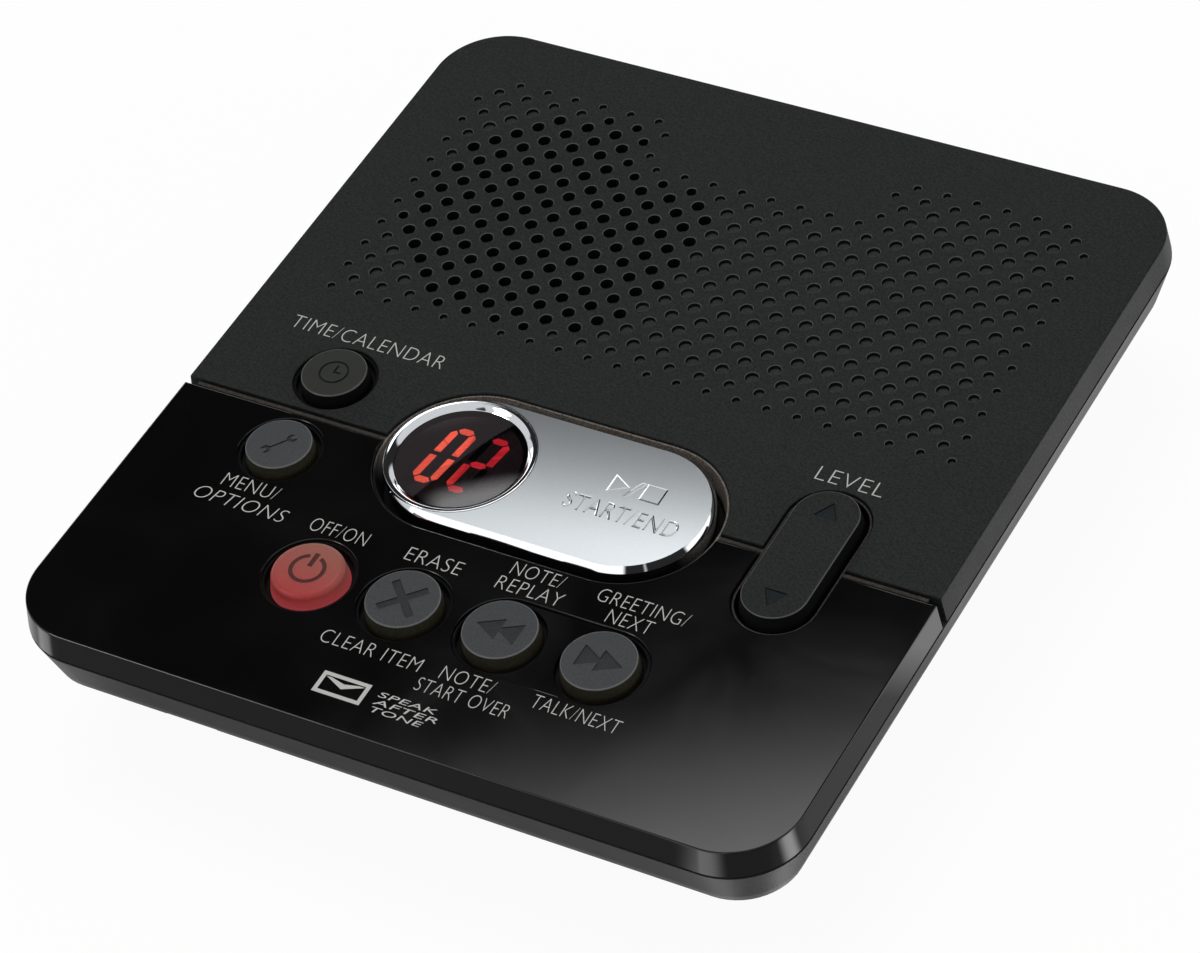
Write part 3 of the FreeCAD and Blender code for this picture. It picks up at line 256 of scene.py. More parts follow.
def grown(loop: Array, distance: float) -> Array:
    """Closed loop moved outward.

    Each corner moves by the distance times the sum of its two sides' normals over 1 + their product.

    Args:
        loop: corners of a closed polygon.
        distance: how far its sides move outward.

    Returns:
        The moved loop.
    """
    along = np.roll(loop, -1, axis=0) - loop
    along = along / np.linalg.norm(along, axis=1, keepdims=True)
    area = (loop[:, 0] * np.roll(loop[:, 1], -1) - np.roll(loop[:, 0], -1) * loop[:, 1]).sum()
    out = np.column_stack([along[:, 1], -along[:, 0]]) * math.copysign(1.0, area)
    before = np.roll(out, 1, axis=0)
    return loop + distance * (before + out) / (1.0 + (before * out).sum(axis=1, keepdims=True))


def turned(loop: Array, degrees: float) -> Array:
    """Loop turned about the origin."""
    angle = math.radians(degrees)
    spin = np.array([[math.cos(angle), math.sin(angle)], [-math.sin(angle), math.cos(angle)]])
    return loop @ spin


@dataclass(frozen=True)
class Slot:
    """Outline with two straight sides and two round ends; without a straight run it is a circle."""

    x: float
    y: float
    half: float = 0.0
    upright: bool = False
    steps: int = 40

    def loop(self, radius: float) -> Array:
        """Closed loop: a half circle about each end of the run."""
        if not self.half:
            return circle_points(self.x, self.y, radius, full_turn(2 * self.steps))
        angles = np.linspace(-math.pi / 2, math.pi / 2, self.steps)
        along = self.half + radius * np.cos(angles)
        along = np.concatenate([along, -along])
        across = radius * np.concatenate([np.sin(angles), -np.sin(angles)])
        if self.upright:
            return np.column_stack([self.x - across, self.y + along])
        return np.column_stack([self.x + along, self.y + across])

    def part(self, radius: float, cut: float, side: Side) -> Array:
        """The stretch of the loop on one side of a line along X at Y = cut, from right to left."""
        steps = np.linspace(0.0, 1.0, self.steps)
        if self.upright:
            end = circle_points(self.x, self.y + side.value * self.half, radius, side.value * math.pi * steps)
            return np.vstack([[self.x + radius, cut], end, [self.x - radius, cut]])
        start = math.asin((cut - self.y) / radius)
        quarter = side.value * math.pi / 2
        right = circle_points(self.x + self.half, self.y, radius, start + (quarter - start) * steps)
        left = circle_points(self.x - self.half, self.y, radius, quarter + (quarter - start) * steps)
        return np.vstack([right, left])

    def width_at(self, radius: float, cut: float) -> float:
        """Half the outline's width where a line at Y = cut crosses it."""
        if self.upright:
            return radius
        return self.half + math.sqrt(radius**2 - (cut - self.y) ** 2)


def play_slot() -> Slot:
    """Slot of the play key, across the groove."""
    return Slot(0.0, Box.of("play_key").spot[1], PLAY_HALF)


def rocker_slot() -> Slot:
    """Slot of the rocker, across the groove."""
    return Slot(*Box.of("volume_rocker").spot, ROCKER_HALF, upright=True)


# ---- meshes -----------------------------------------------------------------------------------
class Shell:
    """Collects the patches of one piece and welds them into a closed mesh."""

    def __init__(self, name: str) -> None:
        """Start an empty piece of that name."""
        self.name = name
        self.points: list[Array] = []
        self.faces: list[list[int]] = []
        self.slots: list[int] = []
        self.smooth: list[bool] = []
        self.count = 0

    def add(self, points: Array, faces: Array, slot: int, smooth: bool) -> None:
        """Add points in millimetres and the faces that join them."""
        self.points.append(points)
        self.faces.extend((faces + self.count).tolist())
        self.slots.extend([slot] * len(faces))
        self.smooth.extend([smooth] * len(faces))
        self.count += len(points)

    def grid(self, rows: Array, closed: bool = False, slot: int = 0) -> None:
        """Smooth surface through rows of points, a function of the row and of the place along it.

        Args:
            rows: array of shape (rows, points, 3).
            closed: whether the last point of a row joins its first.
            slot: material slot of the faces.
        """
        height, width = rows.shape[:2]
        index = np.arange(height * width).reshape(height, width)
        index = np.hstack([index, index[:, :1]]) if closed else index
        corners = (index[:-1, :-1], index[:-1, 1:], index[1:, 1:], index[1:, :-1])
        self.add(rows.reshape(-1, 3), np.stack(corners, axis=-1).reshape(-1, 4), slot, True)

    def stack(self, outlines: list[Array], levels: Array, closed: bool = False, slot: int = 0) -> None:
        """Surface through outlines in the plane, each at its own level."""
        self.grid(np.stack([at_level(line, z) for line, z in zip(outlines, levels)]), closed, slot)

    def fence(self, loops: list[Array], high: float, low: float, slot: int = 0) -> None:
        """Upright walls along closed loops, between two levels."""
        for loop in loops:
            self.stack([loop, loop], np.array([high, low]), closed=True, slot=slot)

    def lathe(self, x: float, y: float, profile: Array, slot: int = 0, steps: int = 96) -> None:
        """Surface of revolution: each (radius, level) of the profile turned about an upright axis."""
        angles = full_turn(steps)
        radius, level = profile[:, 0:1], profile[:, 1:2]
        parts = (x + radius * np.cos(angles), y + radius * np.sin(angles), level + 0 * angles)
        self.grid(np.stack(parts, axis=-1), closed=True, slot=slot)

    def tubes(self, centres: Array, radii: Array, levels: Array, sides: int, slot: int = 0) -> None:
        """Many short upright tubes at once.

        Args:
            centres: (tubes, 2) axes.
            radii: (levels, tubes) radius of each tube at each level.
            levels: (levels, tubes) height of each tube's rings.
            sides: points round each tube.
            slot: material slot of the faces.
        """
        flat = rings(centres, radii, sides)
        high = np.broadcast_to(levels[:, :, None, None], flat.shape[:3] + (1,))
        index = np.arange(high.size).reshape(flat.shape[:3])
        after = np.roll(index, -1, axis=2)
        quads = np.stack([index[:-1], after[:-1], after[1:], index[1:]], axis=-1)
        self.add(np.concatenate([flat, high], axis=-1).reshape(-1, 3), quads.reshape(-1, 4), slot, True)

    def discs(self, centres: Array, radii: Array, level: float, sides: int, slot: int = 0) -> None:
        """Flat round floors, one face each."""
        points = at_level(rings(centres, radii, sides).reshape(-1, 2), level)
        self.add(points, np.arange(len(points)).reshape(len(centres), sides), slot, False)

    def plate(self, loops: list[Array], level: float, keep: Keep, slot: int = 0) -> None:
        """Flat sheet between closed loops: their triangulation, less the triangles not wanted.

        Args:
            loops: closed outlines in the plane, which all become edges.
            level: height of the sheet.
            keep: tells for each triangle's middle whether it stays.
            slot: material slot of the faces.
        """
        starts = np.cumsum([0] + [len(loop) for loop in loops])
        edges = [
            np.column_stack([np.arange(len(loop)), np.roll(np.arange(len(loop)), -1)]) + start
            for loop, start in zip(loops, starts)
        ]
        corners = [Vector(corner) for corner in np.concatenate(loops).tolist()]
        result = delaunay_2d_cdt(corners, np.concatenate(edges).tolist(), [], 0, 1e-5)
        points = np.array([tuple(point) for point in result[0]])
        triangles = np.array(result[2])
        triangles = triangles[keep(points[triangles].mean(axis=1))]
        self.add(at_level(points, level), triangles, slot, False)

    def sheet(self, outer: list[Array], level: float, holes: list[Array] | None = None,
              slot: int = 0) -> None:
        """Flat sheet inside some closed loops and outside others.

        Args:
            outer: outlines that bound the sheet; one inside another leaves a hole.
            level: height of the sheet.
            holes: outlines of further openings.
            slot: material slot of the faces.
        """
        holes = holes or []
        self.plate(outer + holes, level, lambda p: inside(p, outer) & ~inside(p, holes), slot)

    def build(self, materials: list[Material], body: str, slot: str | None = None,
              crease: float = 35.0) -> bpy.types.Object:
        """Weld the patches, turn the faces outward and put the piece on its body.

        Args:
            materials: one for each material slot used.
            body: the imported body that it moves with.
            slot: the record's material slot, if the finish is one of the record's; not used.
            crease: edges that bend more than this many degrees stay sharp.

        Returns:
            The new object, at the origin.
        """
        mesh = bpy.data.meshes.new(self.name)
        mesh.from_pydata(np.concatenate(self.points) * MM, [], self.faces)
        mesh.polygons.foreach_set("material_index", np.array(self.slots, np.int32))
        mesh.polygons.foreach_set("use_smooth", np.array(self.smooth, bool))
        work = bmesh.new()
        work.from_mesh(mesh)
        bmesh.ops.remove_doubles(work, verts=work.verts, dist=MERGE)
        bmesh.ops.dissolve_degenerate(work, edges=work.edges, dist=SLIVER)
        bmesh.ops.recalc_face_normals(work, faces=work.faces)
        loose = sum(1 for edge in work.edges if len(edge.link_faces) != 2)
        work.to_mesh(mesh)
        work.free()
        shading = np.empty(len(mesh.polygons), bool)
        mesh.polygons.foreach_get("use_smooth", shading)
        mesh.set_sharp_from_angle(angle=math.radians(crease))
        mesh.polygons.foreach_set("use_smooth", shading)
        for material in materials:
            mesh.materials.append(material)
        piece = bpy.data.objects.new(self.name, mesh)
        bpy.context.scene.collection.objects.link(piece)
        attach(piece, body)
        log.info("%s: %d faces, %d open edges", self.name, len(mesh.polygons), loose)
        return piece


# ---- finishes ---------------------------------------------------------------------------------
class Graph:
    """Short calls to add and join the nodes of one material, world or group."""

    def __init__(self, tree: bpy.types.NodeTree) -> None:
        """Work on that node tree."""
        self.tree = tree

    def add(self, kind: str, inputs: dict | None = None, **settings: object) -> bpy.types.Node:
        """New node with its settings and inputs."""
        node = self.tree.nodes.new(kind)
        for name, value in settings.items():
            setattr(node, name, value)
        self.fill(node, inputs or {})
        return node

    def fill(self, node: bpy.types.Node, inputs: dict) -> None:
        """Give a node's inputs, by name or number, a value or a link from another node's socket."""
        for name, value in inputs.items():
            if isinstance(value, Socket):
                self.tree.links.new(value, node.inputs[name])
            else:
                node.inputs[name].default_value = value

    def math(self, operation: str, first: object, second: object = 0.0, third: object = 0.0) -> Socket:
        """Result of a Math node."""
        return self.add("ShaderNodeMath", {0: first, 1: second, 2: third}, operation=operation).outputs[0]

    def times(self, first: object, second: object) -> Socket:
        """Product of two numbers."""
        return self.math("MULTIPLY", first, second)

    def mix(self, mask: object, first: object, second: object) -> Socket:
        """Mix of two numbers by a mask."""
        return self.add("ShaderNodeMix", {"Factor": mask, "A": first, "B": second}).outputs["Result"]

    def blend(self, mask: object, first: object, second: object) -> Socket:
        """Mix of two colours by a mask."""
        return self.add("ShaderNodeMix", {"Factor": mask, 6: first, 7: second}, data_type="RGBA").outputs[2]

    def ranged(self, value: object, source: tuple[float, float], target: tuple[float, float],
               **settings: object) -> Socket:
        """Value mapped from one range to another."""
        inputs = {
            "Value": value, "From Min": source[0], "From Max": source[1],
            "To Min": target[0], "To Max": target[1],
        }
        return self.add("ShaderNodeMapRange", inputs, **settings).outputs["Result"]

    def band(self, value: object, low: float, high: float,
             to_low: float = 0.0, to_high: float = 1.0) -> Socket:
        """Value mapped from one range to another and held at its ends."""
        return self.ranged(value, (low, high), (to_low, to_high), clamp=True)

    def between(self, value: object, low: float, high: float, soft: float) -> Socket:
        """Mask that is 1 between two values in millimetres."""
        rise = self.band(value, (low - soft) * MM, low * MM)
        return self.times(rise, self.band(value, high * MM, (high + soft) * MM, 1.0, 0.0))

    def step(self, value: Socket, edge: float, soft: float) -> Socket:
        """Smooth step from 0 to 1 about an edge; a negative softness makes it fall from 1 to 0."""
        half = abs(soft) / 2
        target = (0.0, 1.0) if soft > 0 else (1.0, 0.0)
        return self.ranged(value, (edge - half, edge + half), target, interpolation_type="SMOOTHSTEP")

    def window(self, value: Socket, low: float, high: float, soft: float, fade: float) -> Socket:
        """Product of a smooth rise about one edge and a smooth fall about another."""
        return self.times(self.step(value, low, soft), self.step(value, high, -fade))

    def place(self) -> Socket:
        """Object coordinates."""
        return self.add("ShaderNodeTexCoord").outputs["Object"]

    def axes(self, place: Socket | None = None) -> tuple[Socket, ...]:
        """X, Y and Z of a place, by default of the object coordinates."""
        return tuple(self.add("ShaderNodeSeparateXYZ", {"Vector": place or self.place()}).outputs)

    def noise(self, place: Socket, scale: object, detail: float, extra: dict | None = None) -> Socket:
        """Fractal noise."""
        inputs = {"Vector": place, "Scale": scale, "Detail": detail, **(extra or {})}
        return self.add("ShaderNodeTexNoise", inputs).outputs["Fac"]

    def gap(self, slot: Slot) -> Socket:
        """Distance from a slot's straight run: the root of (excess along it)^2 + (distance across it)^2."""
        x, y, _ = self.axes()
        x_off, y_off = self.math("SUBTRACT", x, slot.x * MM), self.math("SUBTRACT", y, slot.y * MM)
        along, across = (y_off, x_off) if slot.upright else (x_off, y_off)
        run = self.math("ABSOLUTE", along)
        excess = self.math("MAXIMUM", self.math("SUBTRACT", run, slot.half * MM), 0.0)
        squares = self.math("ADD", self.times(excess, excess), self.times(across, across))
        return self.math("SQRT", squares)


def tone(red: float, green: float, blue: float) -> Colour:
    """Linear colour of a screen colour given from 0 to 255."""
    values = [c / 255.0 for c in (red, green, blue)]
    linear = [c / 12.92 if c <= 0.04045 else ((c + 0.055) / 1.055) ** 2.4 for c in values]
    return (*linear, 1.0)


def shaded(colour: Colour, factor: float, more: float = 0.0) -> Colour:
    """Colour scaled by a factor and raised a little."""
    return tuple(c * factor + more for c in colour[:3]) + (1.0,)


def new_group(name: str, inputs: dict[str, float],
              outputs: tuple[str, ...]) -> tuple[Graph, dict, bpy.types.Node]:
    """Empty shader node group with number inputs and outputs.

    Args:
        name: the group's name.
        inputs: name and default of each input.
        outputs: names of the outputs.

    Returns:
        The group's graph, its input sockets by name, and its output node.
    """
    tree = bpy.data.node_groups.new(name, "ShaderNodeTree")
    for label, value in inputs.items():
        tree.interface.new_socket(label, in_out="INPUT", socket_type="NodeSocketFloat").default_value = value
    for label in outputs:
        tree.interface.new_socket(label, in_out="OUTPUT", socket_type="NodeSocketFloat")
    graph = Graph(tree)
    entry = graph.add("NodeGroupInput")
    return graph, {label: entry.outputs[label] for label in inputs}, graph.add("NodeGroupOutput")


@dataclass
class Effects:
    """Surface effects that several finishes share, each a node group made once.

    Scales are in cells per metre.
    """

    mould_scale: float = 2500.0
    coarser: float = 0.21
    patch_scale: float = 60.0
    finer: float = 30.0
    crests: tuple[float, float] = (0.35, 0.65)
    patches: tuple[float, float] = (0.35, 0.75)
    specks: tuple[float, float] = (0.62, 0.75)

    def __post_init__(self) -> None:
        """Build the groups."""
        self.grain_tree = self.make_grain()
        self.traces_tree = self.make_traces()

    def make_grain(self) -> bpy.types.NodeTree:
        """Spark-eroded mould texture: fine noise, with a coarser one that makes it uneven."""
        inputs = {"Scale": self.mould_scale, "Unevenness": 0.3}
        graph, entry, leave = new_group("mould_grain", inputs, ("Height", "Mask"))
        place = graph.place()
        fine = graph.noise(place, entry["Scale"], 2.0, {"Roughness": 0.6})
        coarse = graph.noise(place, graph.times(entry["Scale"], self.coarser), 1.0)
        height = graph.math("ADD", fine, graph.times(coarse, entry["Unevenness"]))
        graph.fill(leave, {"Height": height, "Mask": graph.band(fine, *self.crests)})
        return graph.tree

    def make_traces(self) -> bpy.types.NodeTree:
        """Faint traces of handling: broad soft patches and a little fine dust."""
        graph, entry, leave = new_group("handling", {"Scale": self.patch_scale, "Dust": 0.2}, ("Mask",))
        place = graph.place()
        patches = graph.noise(place, entry["Scale"], 3.0, {"Distortion": 0.6})
        patches = graph.band(patches, *self.patches)
        specks = graph.noise(place, graph.times(entry["Scale"], self.finer), 1.0)
        specks = graph.band(specks, *self.specks)
        graph.fill(leave, {"Mask": graph.math("ADD", patches, graph.times(specks, entry["Dust"]))})
        return graph.tree

    def grain(self, graph: Graph, scale: float | None = None) -> tuple[Socket, Socket]:
        """Height and mask of the mould texture, in a material."""
        inputs = {"Scale": scale or self.mould_scale}
        node = graph.add("ShaderNodeGroup", inputs, node_tree=self.grain_tree)
        return node.outputs["Height"], node.outputs["Mask"]

    def traces(self, graph: Graph, scale: float | None = None) -> Socket:
        """Mask of the traces of handling, in a material."""
        inputs = {"Scale": scale or self.patch_scale}
        return graph.add("ShaderNodeGroup", inputs, node_tree=self.traces_tree).outputs["Mask"]


def new_material(name: str) -> tuple[Material, Graph, bpy.types.Node]:
    """Fresh material with its graph and its Principled shader."""
    material = bpy.data.materials.new(name)
    material.use_nodes = True
    return material, Graph(material.node_tree), material.node_tree.nodes["Principled BSDF"]


def lift(graph: Graph, shader: bpy.types.Node, height: Socket, depth: float) -> None:
    """Bump a shader's surface by a height mask times a depth in millimetres."""
    bump = graph.add("ShaderNodeBump", {"Height": height, "Distance": depth * MM, "Strength": 1.0})
    graph.fill(shader, {"Normal": bump.outputs["Normal"]})


@dataclass(frozen=True)
class Moulded:
    """Moulded plastic or rubber with a fine grain."""

    name: str
    colour: Colour
    roughness: float = 0.55
    specular: float = 0.3
    grain_size: float = 0.4
    grain_depth: float = 0.02
    variation: float = 0.18
    handling: float = 0.08

    def make(self, effects: Effects) -> Material:
        """Material whose grain lightens the crests, roughens them and lifts the surface."""
        material, graph, shader = new_material(self.name)
        height, mask = effects.grain(graph, 1.0 / (self.grain_size * MM))
        dark, light = shaded(self.colour, 1 - self.variation), shaded(self.colour, 1 + self.variation)
        least = self.roughness - self.handling / 2
        graph.fill(shader, {
            "Base Color": graph.blend(mask, dark, light),
            "Roughness": graph.math("MULTIPLY_ADD", effects.traces(graph), self.handling, least),
            "Specular IOR Level": self.specular,
        })
        lift(graph, shader, height, self.grain_depth)
        return material


@dataclass(frozen=True)
class Polished:
    """High-gloss plastic with faint traces of handling."""

    name: str
    colour: Colour
    roughness: float = 0.06
    specular: float = 0.5
    ripple: float = 0.002
    ripple_scale: float = 35.0
    touch_scale: float = 45.0
    touch_gain: float = 1.3
    touch_haze: float = 0.0006
    touch_roughness: float = 0.05

    def make(self, effects: Effects) -> Material:
        """Material whose gloss dulls a little where it has been touched, with a slight mould ripple."""
        material, graph, shader = new_material(self.name)
        mask = effects.traces(graph, self.touch_scale)
        touched = shaded(self.colour, self.touch_gain, self.touch_haze)
        graph.fill(shader, {
            "Base Color": graph.blend(mask, self.colour, touched),
            "Roughness": graph.math("MULTIPLY_ADD", mask, self.touch_roughness, self.roughness),
            "Specular IOR Level": self.specular,
        })
        lift(graph, shader, graph.noise(graph.place(), self.ripple_scale, 0.0), self.ripple)
        return material


@dataclass(frozen=True)
class Metal:
    """Bare or plated metal."""

    name: str
    colour: Colour
    roughness: float = 0.2
    grain_size: float = 0.15
    grain_depth: float = 0.0005
    patchy: float = 0.06
    hollow: float = 0.92

    def make(self, effects: Effects) -> Material:
        """Material with a fine blasted grain and patches of uneven gloss."""
        material, graph, shader = new_material(self.name)
        height, mask = effects.grain(graph, 1.0 / (self.grain_size * MM))
        graph.fill(shader, {
            "Metallic": 1.0,
            "Base Color": graph.blend(mask, shaded(self.colour, self.hollow), self.colour),
            "Roughness": graph.math("MULTIPLY_ADD", effects.traces(graph), self.patchy, self.roughness),
        })
        lift(graph, shader, height, self.grain_depth)
        return material


@dataclass(frozen=True)
class Satin:
    """Satin-plated plastic: a fine even grain on a top that is crowned a little from front to rear."""

    name: str = "key_satin"
    dark: Colour = tone(191, 196, 199)
    light: Colour = tone(199, 204, 207)
    roughness: float = 0.28
    uneven: float = 0.02
    grain_scale: float = 8000.0
    crown: float = -2.35
    twist: float = 0.9
    twist_x: float = 4.0
    grain: float = 3e-7

    def make(self, effects: Effects) -> Material:
        """Metal lifted, in metres, by crown y^2 + twist x y + the grain, about the key's middle."""
        material, graph, shader = new_material(self.name)
        height, mask = effects.grain(graph, self.grain_scale)
        graph.fill(shader, {
            "Metallic": 1.0,
            "Base Color": graph.blend(mask, self.dark, self.light),
            "Roughness": graph.math("MULTIPLY_ADD", mask, self.uneven, self.roughness),
        })
        x, y, _ = graph.axes()
        off = graph.math("SUBTRACT", y, Box.of("play_key").spot[1] * MM)
        aside = graph.math("SUBTRACT", x, self.twist_x * MM)
        crown = graph.times(graph.times(off, off), self.crown)
        crown = graph.math("MULTIPLY_ADD", graph.times(aside, off), self.twist, crown)
        lift(graph, shader, graph.math("MULTIPLY_ADD", height, self.grain, crown), 1.0 / MM)
        return material


@dataclass(frozen=True)
class Lens:
    """Clear smoked lens with a trace of dust."""

    name: str = "lens_smoked"
    clean: Colour = tone(158, 132, 136)
    dusty: Colour = tone(150, 126, 130)
    dust_scale: float = 90.0
    dust_roughness: float = 0.03
    refraction: float = 1.49

    def make(self, effects: Effects) -> Material:
        """Clear material whose dust dulls and darkens it."""
        material, graph, shader = new_material(self.name)
        mask = effects.traces(graph, self.dust_scale)
        graph.fill(shader, {
            "Transmission Weight": 1.0,
            "IOR": self.refraction,
            "Base Color": graph.blend(mask, self.clean, self.dusty),
            "Roughness": graph.times(mask, self.dust_roughness),
        })
        return material


@dataclass(frozen=True)
class Lit:
    """Lit bars: orange-red on the left digit, a deeper red on the right one."""

    name: str = "segment_lit"
    left: Colour = tone(228, 112, 84)
    right: Colour = tone(190, 46, 60)
    fade: float = 1.5
    glow: float = 1.3

    def make(self, effects: Effects) -> Material:
        """Glowing material that changes over the fade's width on each side of the middle."""
        material, graph, shader = new_material(self.name)
        middle = Box.of("lit_segments").spot[0]
        mask = graph.band(graph.axes()[0], (middle - self.fade) * MM, (middle + self.fade) * MM)
        colour = graph.blend(mask, self.left, self.right)
        graph.fill(shader, {"Base Color": colour, "Emission Color": colour, "Emission Strength": self.glow})
        return material


@dataclass(frozen=True)
class RedRubber:
    """Clear red silicone whose colour carries painted light: it glows, its top pales towards its rear edge in
    a painted highlight, and it reddens and glows more down its side.
    """

    name: str = "key_red"
    front: Colour = tone(138, 44, 44)
    # painted highlight: the paler tone that the top takes towards its rear edge
    rear: Colour = tone(116, 78, 66)
    side: Colour = tone(150, 58, 62)
    crest: Colour = tone(190, 90, 84)
    crest_share: float = 0.1
    # painted light: the glow, stronger down the side than on the top
    side_painted_glow: float = 0.68
    top_painted_glow: float = 0.22
    grain_scale: float = 2600.0
    grain_depth: float = 0.006
    rear_highlight_fade: tuple[float, float] = (2.0, 0.5)
    side_fade: tuple[float, float] = (2.6, 0.9)

    def make(self, effects: Effects) -> Material:
        """Material whose painted highlight grows from front to rear and whose painted glow fades from its
        side to its top, by the key's extent.
        """
        material, graph, shader = new_material(self.name)
        box = Box.of("power_key")
        _, y, z = graph.axes()
        front, rear = box.low[1] + self.rear_highlight_fade[0], box.high[1] - self.rear_highlight_fade[1]
        # painted highlight: the top pales from front to rear
        top = graph.blend(graph.band(y, front * MM, rear * MM), self.front, self.rear)
        up = graph.band(z, (box.top - self.side_fade[0]) * MM, (box.top - self.side_fade[1]) * MM)
        colour = graph.blend(up, self.side, top)
        height, mask = effects.grain(graph, self.grain_scale)
        graph.fill(shader, {
            "Base Color": graph.blend(graph.times(mask, self.crest_share), colour, self.crest),
            "Emission Color": colour,
            # painted light: the glow fades from the side to the top
            "Emission Strength": graph.band(up, 0.0, 1.0, self.side_painted_glow, self.top_painted_glow),
            "Roughness": 0.45,
            "Specular IOR Level": 0.3,
        })
        lift(graph, shader, height, self.grain_depth)
        return material


@dataclass(frozen=True)
class Lamp:
    """Small red lamp."""

    name: str = "lamp_red"
    light: Colour = tone(255, 60, 50)
    dark: Colour = tone(235, 40, 36)
    glow: float = 1.2

    def make(self, effects: Effects) -> Material:
        """Glowing red material."""
        material, graph, shader = new_material(self.name)
        colour = graph.blend(effects.traces(graph), self.light, self.dark)
        graph.fill(shader, {"Base Color": colour, "Emission Color": colour, "Emission Strength": self.glow})
        return material


@dataclass(frozen=True)
class Board:
    """Circuit board: green resist over a pattern of copper tracks."""

    name: str = "board_green"
    resist: Colour = tone(22, 84, 52)
    track: Colour = tone(46, 120, 72)
    scale: float = 110.0
    track_width: float = 0.03
    copper: float = 0.03

    def make(self, effects: Effects) -> Material:
        """Material whose tracks are paler, raised and a little rougher; it takes no shared effect."""
        material, graph, shader = new_material(self.name)
        brick = {"Vector": graph.place(), "Scale": self.scale, "Mortar Size": self.track_width}
        mask = graph.band(graph.add("ShaderNodeTexBrick", brick).outputs["Fac"], 0.3, 0.7)
        graph.fill(shader, {
            "Base Color": graph.blend(mask, self.resist, self.track),
            "Roughness": graph.math("MULTIPLY_ADD", mask, 0.12, 0.3),
        })
        lift(graph, shader, mask, self.copper)
        return material


@dataclass(frozen=True)
class InnerFrame:
    """Rough brown-grey frame: its rib between the covers, its rocker collar and its play key pocket.

    Deeper in the gaps it is painted black, as painted shade, and the play key pocket's rear wall is painted
    lighter, as painted light. Each pair is where a stretch starts and ends: from the front cover's edge, from
    the rocker's or the play key's straight run, as a depth below the deck, or in front of the play key's
    middle.
    """

    name: str = "frame_brown"
    # painted shade: the black that the frame takes deeper in the gaps
    dark: Colour = tone(9, 9, 9)
    brown: tuple[Colour, Colour] = (tone(34, 31, 29), tone(66, 61, 58))
    # painted light: the lighter tones of the play key pocket's rear wall
    pocket_painted_light: tuple[Colour, Colour] = (tone(76, 71, 66), tone(124, 116, 109))
    grain_scale: float = 3200.0
    grain_depth: float = 0.05
    rib_soft: float = 0.06
    collar_soft: float = 0.05
    rib: tuple[float, float] = (0.62, 1.3)
    rib_past_rocker: tuple[float, float] = (7.0, 7.1)
    collar: tuple[float, float] = (6.5, 6.96)
    raised: tuple[float, float] = (0.75, 0.6)
    pocket: tuple[float, float] = (15.6, 15.7)
    pocket_depth: tuple[float, float] = (4.2, 3.6)
    # the pocket's painted light fades out towards its front
    behind: tuple[float, float] = (7.0, 1.0)

    def make(self, effects: Effects) -> Material:
        """Rough material: brown where the frame shows near the top, black painted shade deeper down, and a
        lighter painted light in the play key's pocket.
        """
        material, graph, shader = new_material(self.name)
        _, y, z = graph.axes()
        cover, play, rocker = Box.of("front_cover"), play_slot(), rocker_slot()
        from_play, from_rocker = graph.gap(play), graph.gap(rocker)
        raised = graph.band(z, *[(cover.top - depth) * MM for depth in self.raised])
        rib = graph.between(y, *[cover.high[1] + off for off in self.rib], self.rib_soft)
        rib = graph.times(rib, graph.band(from_rocker, *[off * MM for off in self.rib_past_rocker]))
        collar = graph.between(from_rocker, *self.collar, self.collar_soft)
        # brown only near the top of the rib and the collar; deeper down the frame takes the black painted
        # shade
        flat = graph.times(graph.math("MAXIMUM", rib, collar), raised)
        deep = graph.band(z, *[(cover.top - depth) * MM for depth in self.pocket_depth])
        # painted light in the play key's pocket, fading out towards its front
        pocket = graph.times(graph.band(from_play, *[off * MM for off in self.pocket], 1.0, 0.0), deep)
        pocket = graph.times(pocket, graph.band(y, *[(play.y - off) * MM for off in self.behind]))
        height, mask = effects.grain(graph, self.grain_scale)
        brown, pocket_painted_light = graph.blend(mask, *self.brown), graph.blend(mask, *self.pocket_painted_light)
        graph.fill(shader, {
            "Base Color": graph.blend(pocket, graph.blend(flat, self.dark, brown), pocket_painted_light),
            "Roughness": 0.65,
            "Specular IOR Level": 0.15,
        })
        lift(graph, shader, height, self.grain_depth)
        return material


@dataclass(frozen=True)
class BaseGrey:
    """Grey base with a fine grain, with a paler painted highlight in the band above its lower edge and a
    darker painted shade below it.
    """

    name: str = "base_grey"
    drop: float = 13.95
    # painted shade: heights above the skirt's lower edge over which the darker tone fades out
    under: tuple[float, float] = (0.3, 0.5)
    # painted highlight: the band above the skirt's lower edge
    pale: tuple[float, float] = (0.5, 1.7)
    painted_highlight_soft: float = 0.25
    side_tones: tuple[Colour, Colour] = (tone(44, 44, 46), tone(56, 56, 57))
    painted_highlight_tones: tuple[Colour, Colour] = (tone(80, 78, 77), tone(92, 90, 88))
    painted_shade_tone: Colour = tone(40, 40, 41)
    roughness: float = 0.5
    handling: float = 0.08
    grain_depth: float = 0.03

    def make(self, effects: Effects) -> Material:
        """Material in three tones, by the height above the skirt's lower edge: grain, a painted highlight
        band and painted shade below it.
        """
        material, graph, shader = new_material(self.name)
        z = graph.axes()[2]
        foot = Case().deck - self.drop
        # painted highlight band, and painted shade below it
        pale = graph.between(z, *[foot + up for up in self.pale], self.painted_highlight_soft)
        under = graph.band(z, *[(foot + up) * MM for up in self.under], 1.0, 0.0)
        height, mask = effects.grain(graph)
        side, band = graph.blend(mask, *self.side_tones), graph.blend(mask, *self.painted_highlight_tones)
        graph.fill(shader, {
            "Base Color": graph.blend(under, graph.blend(pale, side, band), self.painted_shade_tone),
            "Roughness": graph.math("MULTIPLY_ADD", effects.traces(graph), self.handling, self.roughness),
            "Specular IOR Level": 0.3,
        })
        lift(graph, shader, height, self.grain_depth)
        return material


